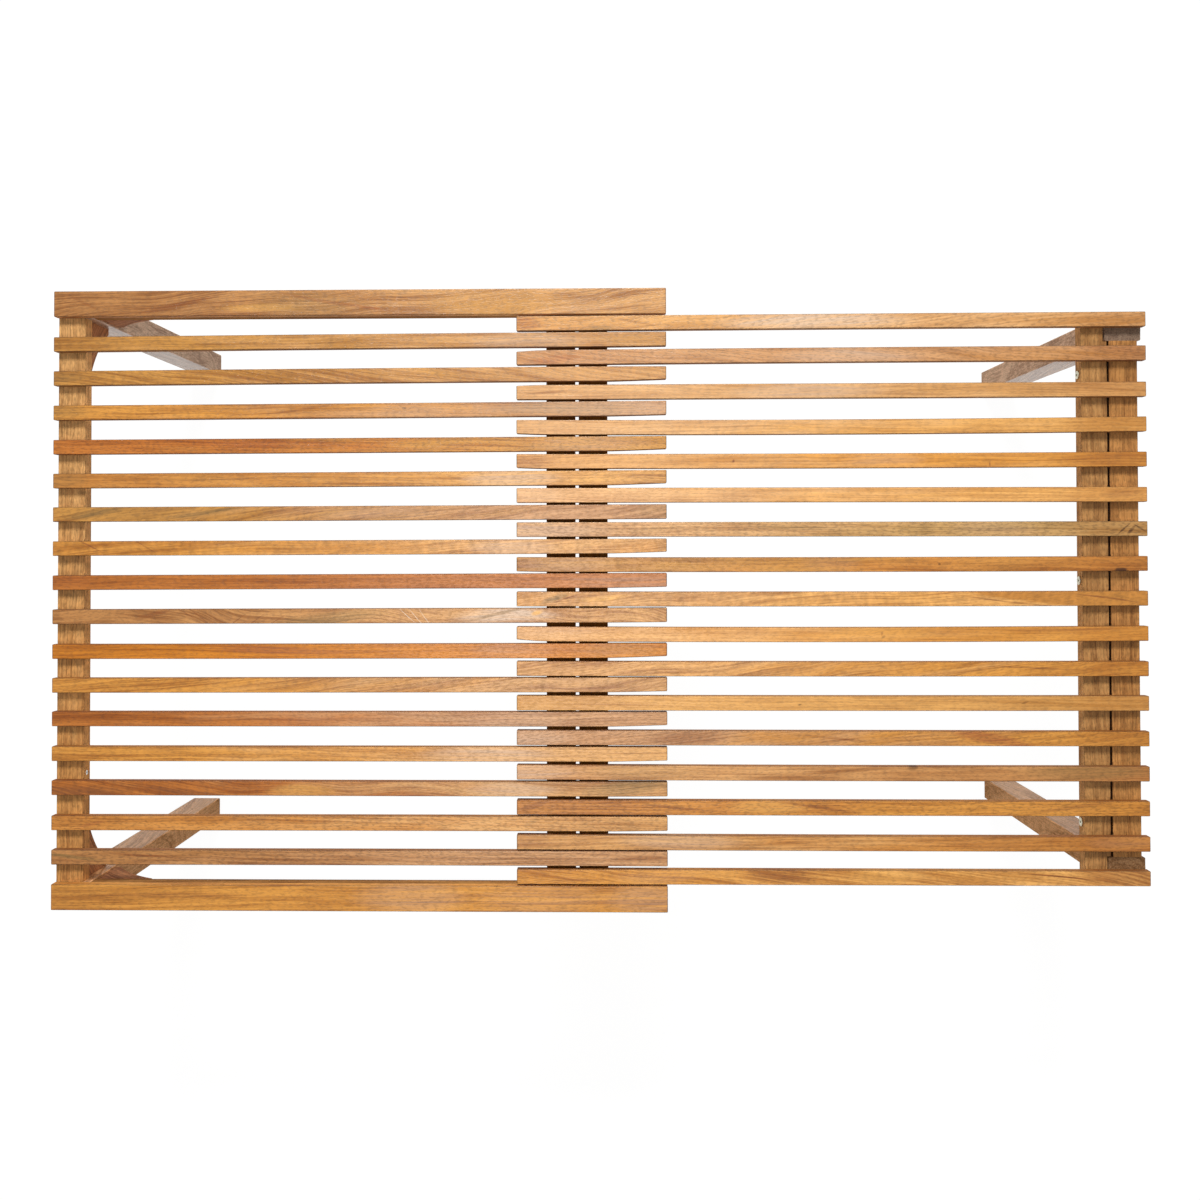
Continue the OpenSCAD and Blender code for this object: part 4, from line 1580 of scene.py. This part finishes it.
@dataclass(frozen=True)
class FrameBolts:
    """Hexagon socket bolts that hold the two right rails together."""

    node: str = "frame_bolts"
    body: str = "sliding_half"
    head_d: float = 14.0 * MM
    head_h: float = 2.5 * MM
    bolt_d: float = 6.0 * MM
    socket: float = 4.0 * MM
    socket_depth: float = 2.0 * MM
    rim: float = 0.8 * MM
    chamfer: float = 0.6 * MM
    sides: int = 48

    def build(self, metal: bpy.types.Material) -> None:
        """Builds the bolts and seats them.

        Args:
            metal: Their plating.
        """
        made = bmesh.new()
        for bolt in fasteners_in(self.node, self.head_d / 2):
            place = bolt.matrix()
            r = self.head_d / 2
            profile = [
                (r - self.rim, 0.0),
                (r - self.rim * 0.3, self.rim * 0.3),
                (r, self.rim),
                (r, self.head_h),
                (self.bolt_d / 2, self.head_h),
                (self.bolt_d / 2, bolt.length - self.chamfer),
                (self.bolt_d / 2 - self.chamfer, bolt.length),
            ]
            rows = lathe(made, profile, self.sides, place)
            pit(made, rows[0], hexagon(self.socket), self.socket_depth, place)
            made.faces.new(reversed(rows[-1]))
        piece = as_piece(made, "bolts_frame")
        piece.data.materials.append(metal)
        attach(piece, self.body)
        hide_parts(self.node)
        log_piece(piece, self.body)


@dataclass(frozen=True)
class Hardware:
    """All fasteners."""

    zinc: Metal = Metal("zinc_plate", "#E8E5D2", "#C4BEA2", 0.42)
    steel: Metal = Metal("bright_steel", "#F2F2F0", "#CFCFCB", 0.42)
    brass: Metal = Metal("brass", "#C9A65A", "#9C7B3A", 0.35)

    def build(self) -> None:
        """Builds the screws and bolts and dresses the insert nuts."""
        steel, zinc = self.steel.material(), self.zinc.material()
        for node, body in (
            ("fixed_top_screws", "fixed_half"),
            ("fixed_brace_screws", "fixed_half"),
            ("end_rail_screw", "fixed_half"),
            ("sliding_top_screws", "sliding_half"),
            ("sliding_brace_screws", "sliding_half"),
        ):
            Screws(node, body).build(steel)
        FrameBolts().build(zinc)
        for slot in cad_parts["insert_nuts"].material_slots:
            slot.material = self.brass.material()


# Studio


@dataclass(frozen=True)
class Softbox:
    """A soft lamp aimed at a point on the table top, with the angle of its beam in degrees."""

    name: str
    place: tuple[float, float, float]
    size: tuple[float, float]
    power: float
    aim: tuple[float, float]
    beam: float

    def build(self, height: float) -> None:
        """Hangs the lamp.

        Args:
            height: The table top's height.
        """
        light = bpy.data.lights.new(self.name, "AREA")
        light.shape = "RECTANGLE"
        light.size, light.size_y = self.size
        light.energy = self.power
        light.spread = math.radians(self.beam)
        lamp = bpy.data.objects.new(self.name, light)
        lamp.location = self.place
        way = Vector((*self.aim, height)) - lamp.location
        lamp.rotation_euler = way.to_track_quat("-Z", "Y").to_euler()
        lamp.visible_camera = False
        bpy.context.scene.collection.objects.link(lamp)


@dataclass(frozen=True)
class Studio:
    """Camera, floor, lamps and the white surroundings."""

    lens: float = 39.786
    sensor: float = 36.0
    camera_place: tuple[float, float, float] = (0.02946, 0.08843, 2.89284)
    camera_turn: tuple[float, float, float] = (0.01818, 0.0219, -0.00189)
    shift: tuple[float, float] = (0.01303, -0.06645)
    floor_half: float = 30.0
    floor_glow: float = 0.945
    ambient: float = 0.32
    softboxes: Sequence[Softbox] = (
        Softbox("key", (-0.15, 3.4, 4.8), (1.2, 1.2), 42.4, (0.0, -0.2), 80.0),
        Softbox("top", (-0.2, -0.15, 2.95), (0.9, 1.1), 10.3, (0.0, 0.0), 180.0),
    )

    def build(self) -> None:
        """Sets everything up."""
        scene = bpy.context.scene
        scene.view_settings.view_transform = "Standard"
        lens = bpy.data.cameras.new("camera")
        lens.lens, lens.sensor_width = self.lens, self.sensor
        lens.shift_x, lens.shift_y = self.shift
        camera = bpy.data.objects.new("camera", lens)
        camera.location, camera.rotation_euler = self.camera_place, self.camera_turn
        scene.collection.objects.link(camera)
        scene.camera = camera
        for softbox in self.softboxes:
            softbox.build(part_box("edge_board_back")[1][2])
        self._floor()
        self._world()

    def _seen(self, book: Book) -> Signal:
        """1 for the rays that show the background, 0 for those that light the table."""
        rays = ("Is Camera Ray", "Is Glossy Ray", "Is Transmission Ray")
        camera, glossy, clear = (book.node("ShaderNodeLightPath", out=ray) for ray in rays)
        return (camera + glossy + clear).least(1.0)

    def _floor(self) -> None:
        """Lays the floor: white where it shows, with the table's soft shadow on it."""
        made = bmesh.new()
        h = self.floor_half
        made.faces.new([made.verts.new((x, y, 0)) for x, y in ((-h, -h), (h, -h), (h, h), (-h, h))])
        floor = as_piece(made, "floor")
        material, book = new_book("white_floor")
        seen = self._seen(book)
        grain = book.node("ShaderNodeTexNoise", None, {"Scale": 3.0})
        colour = book.mix(seen, linear("#F4F4F2"), linear("#5E5E5D"))
        colour = book.mix(grain * 0.04, colour, linear("#FFFFFF"))
        matt = book.node("ShaderNodeBsdfDiffuse", None, {"Color": colour})
        white = {"Color": linear("#FFFFFF"), "Strength": seen * self.floor_glow}
        glow = book.node("ShaderNodeEmission", None, white)
        both = book.node("ShaderNodeAddShader", None, {0: matt, 1: glow})
        book.node("ShaderNodeOutputMaterial", None, {"Surface": both})
        floor.data.materials.append(material)

    def _world(self) -> None:
        """Surrounds the table with even white light."""
        world = bpy.data.worlds.new("white_studio")
        bpy.context.scene.world = world
        world.use_nodes = True
        book = Book(world.node_tree)
        seen = book.node("ShaderNodeLightPath", out="Is Camera Ray")
        strength = seen * (1 - self.ambient) + self.ambient
        light = book.node(
            "ShaderNodeBackground", None, {"Color": linear("#FFFFFF"), "Strength": strength}
        )
        book.node("ShaderNodeOutputWorld", None, {"Surface": light})


def main() -> None:
    """Builds the studio and then each sub-assembly, in order."""
    logging.basicConfig(level=logging.INFO, format="%(name)s: %(message)s")
    Studio().build()
    SlatRow(
        body="fixed_half",
        prefix="fixed",
        slot="fixed_slat_wood",
        slats=FIXED_SLATS,
        free_end_right=True,
        free_length=96 * MM,
        seed=Seed.FIXED_SLATS,
    ).build()
    SlatRow(
        body="sliding_half",
        prefix="sliding",
        slot="sliding_slat_wood",
        slats=SLIDING_SLATS,
        free_end_right=False,
        free_length=48 * MM,
        seed=Seed.SLIDING_SLATS,
        tips_amber=(0.14, 0.26),
    ).build()
    EdgeBoards().build()
    Rails().build()
    Legs().build()
    Hardware().build()


if __name__ == "__main__":
    main()
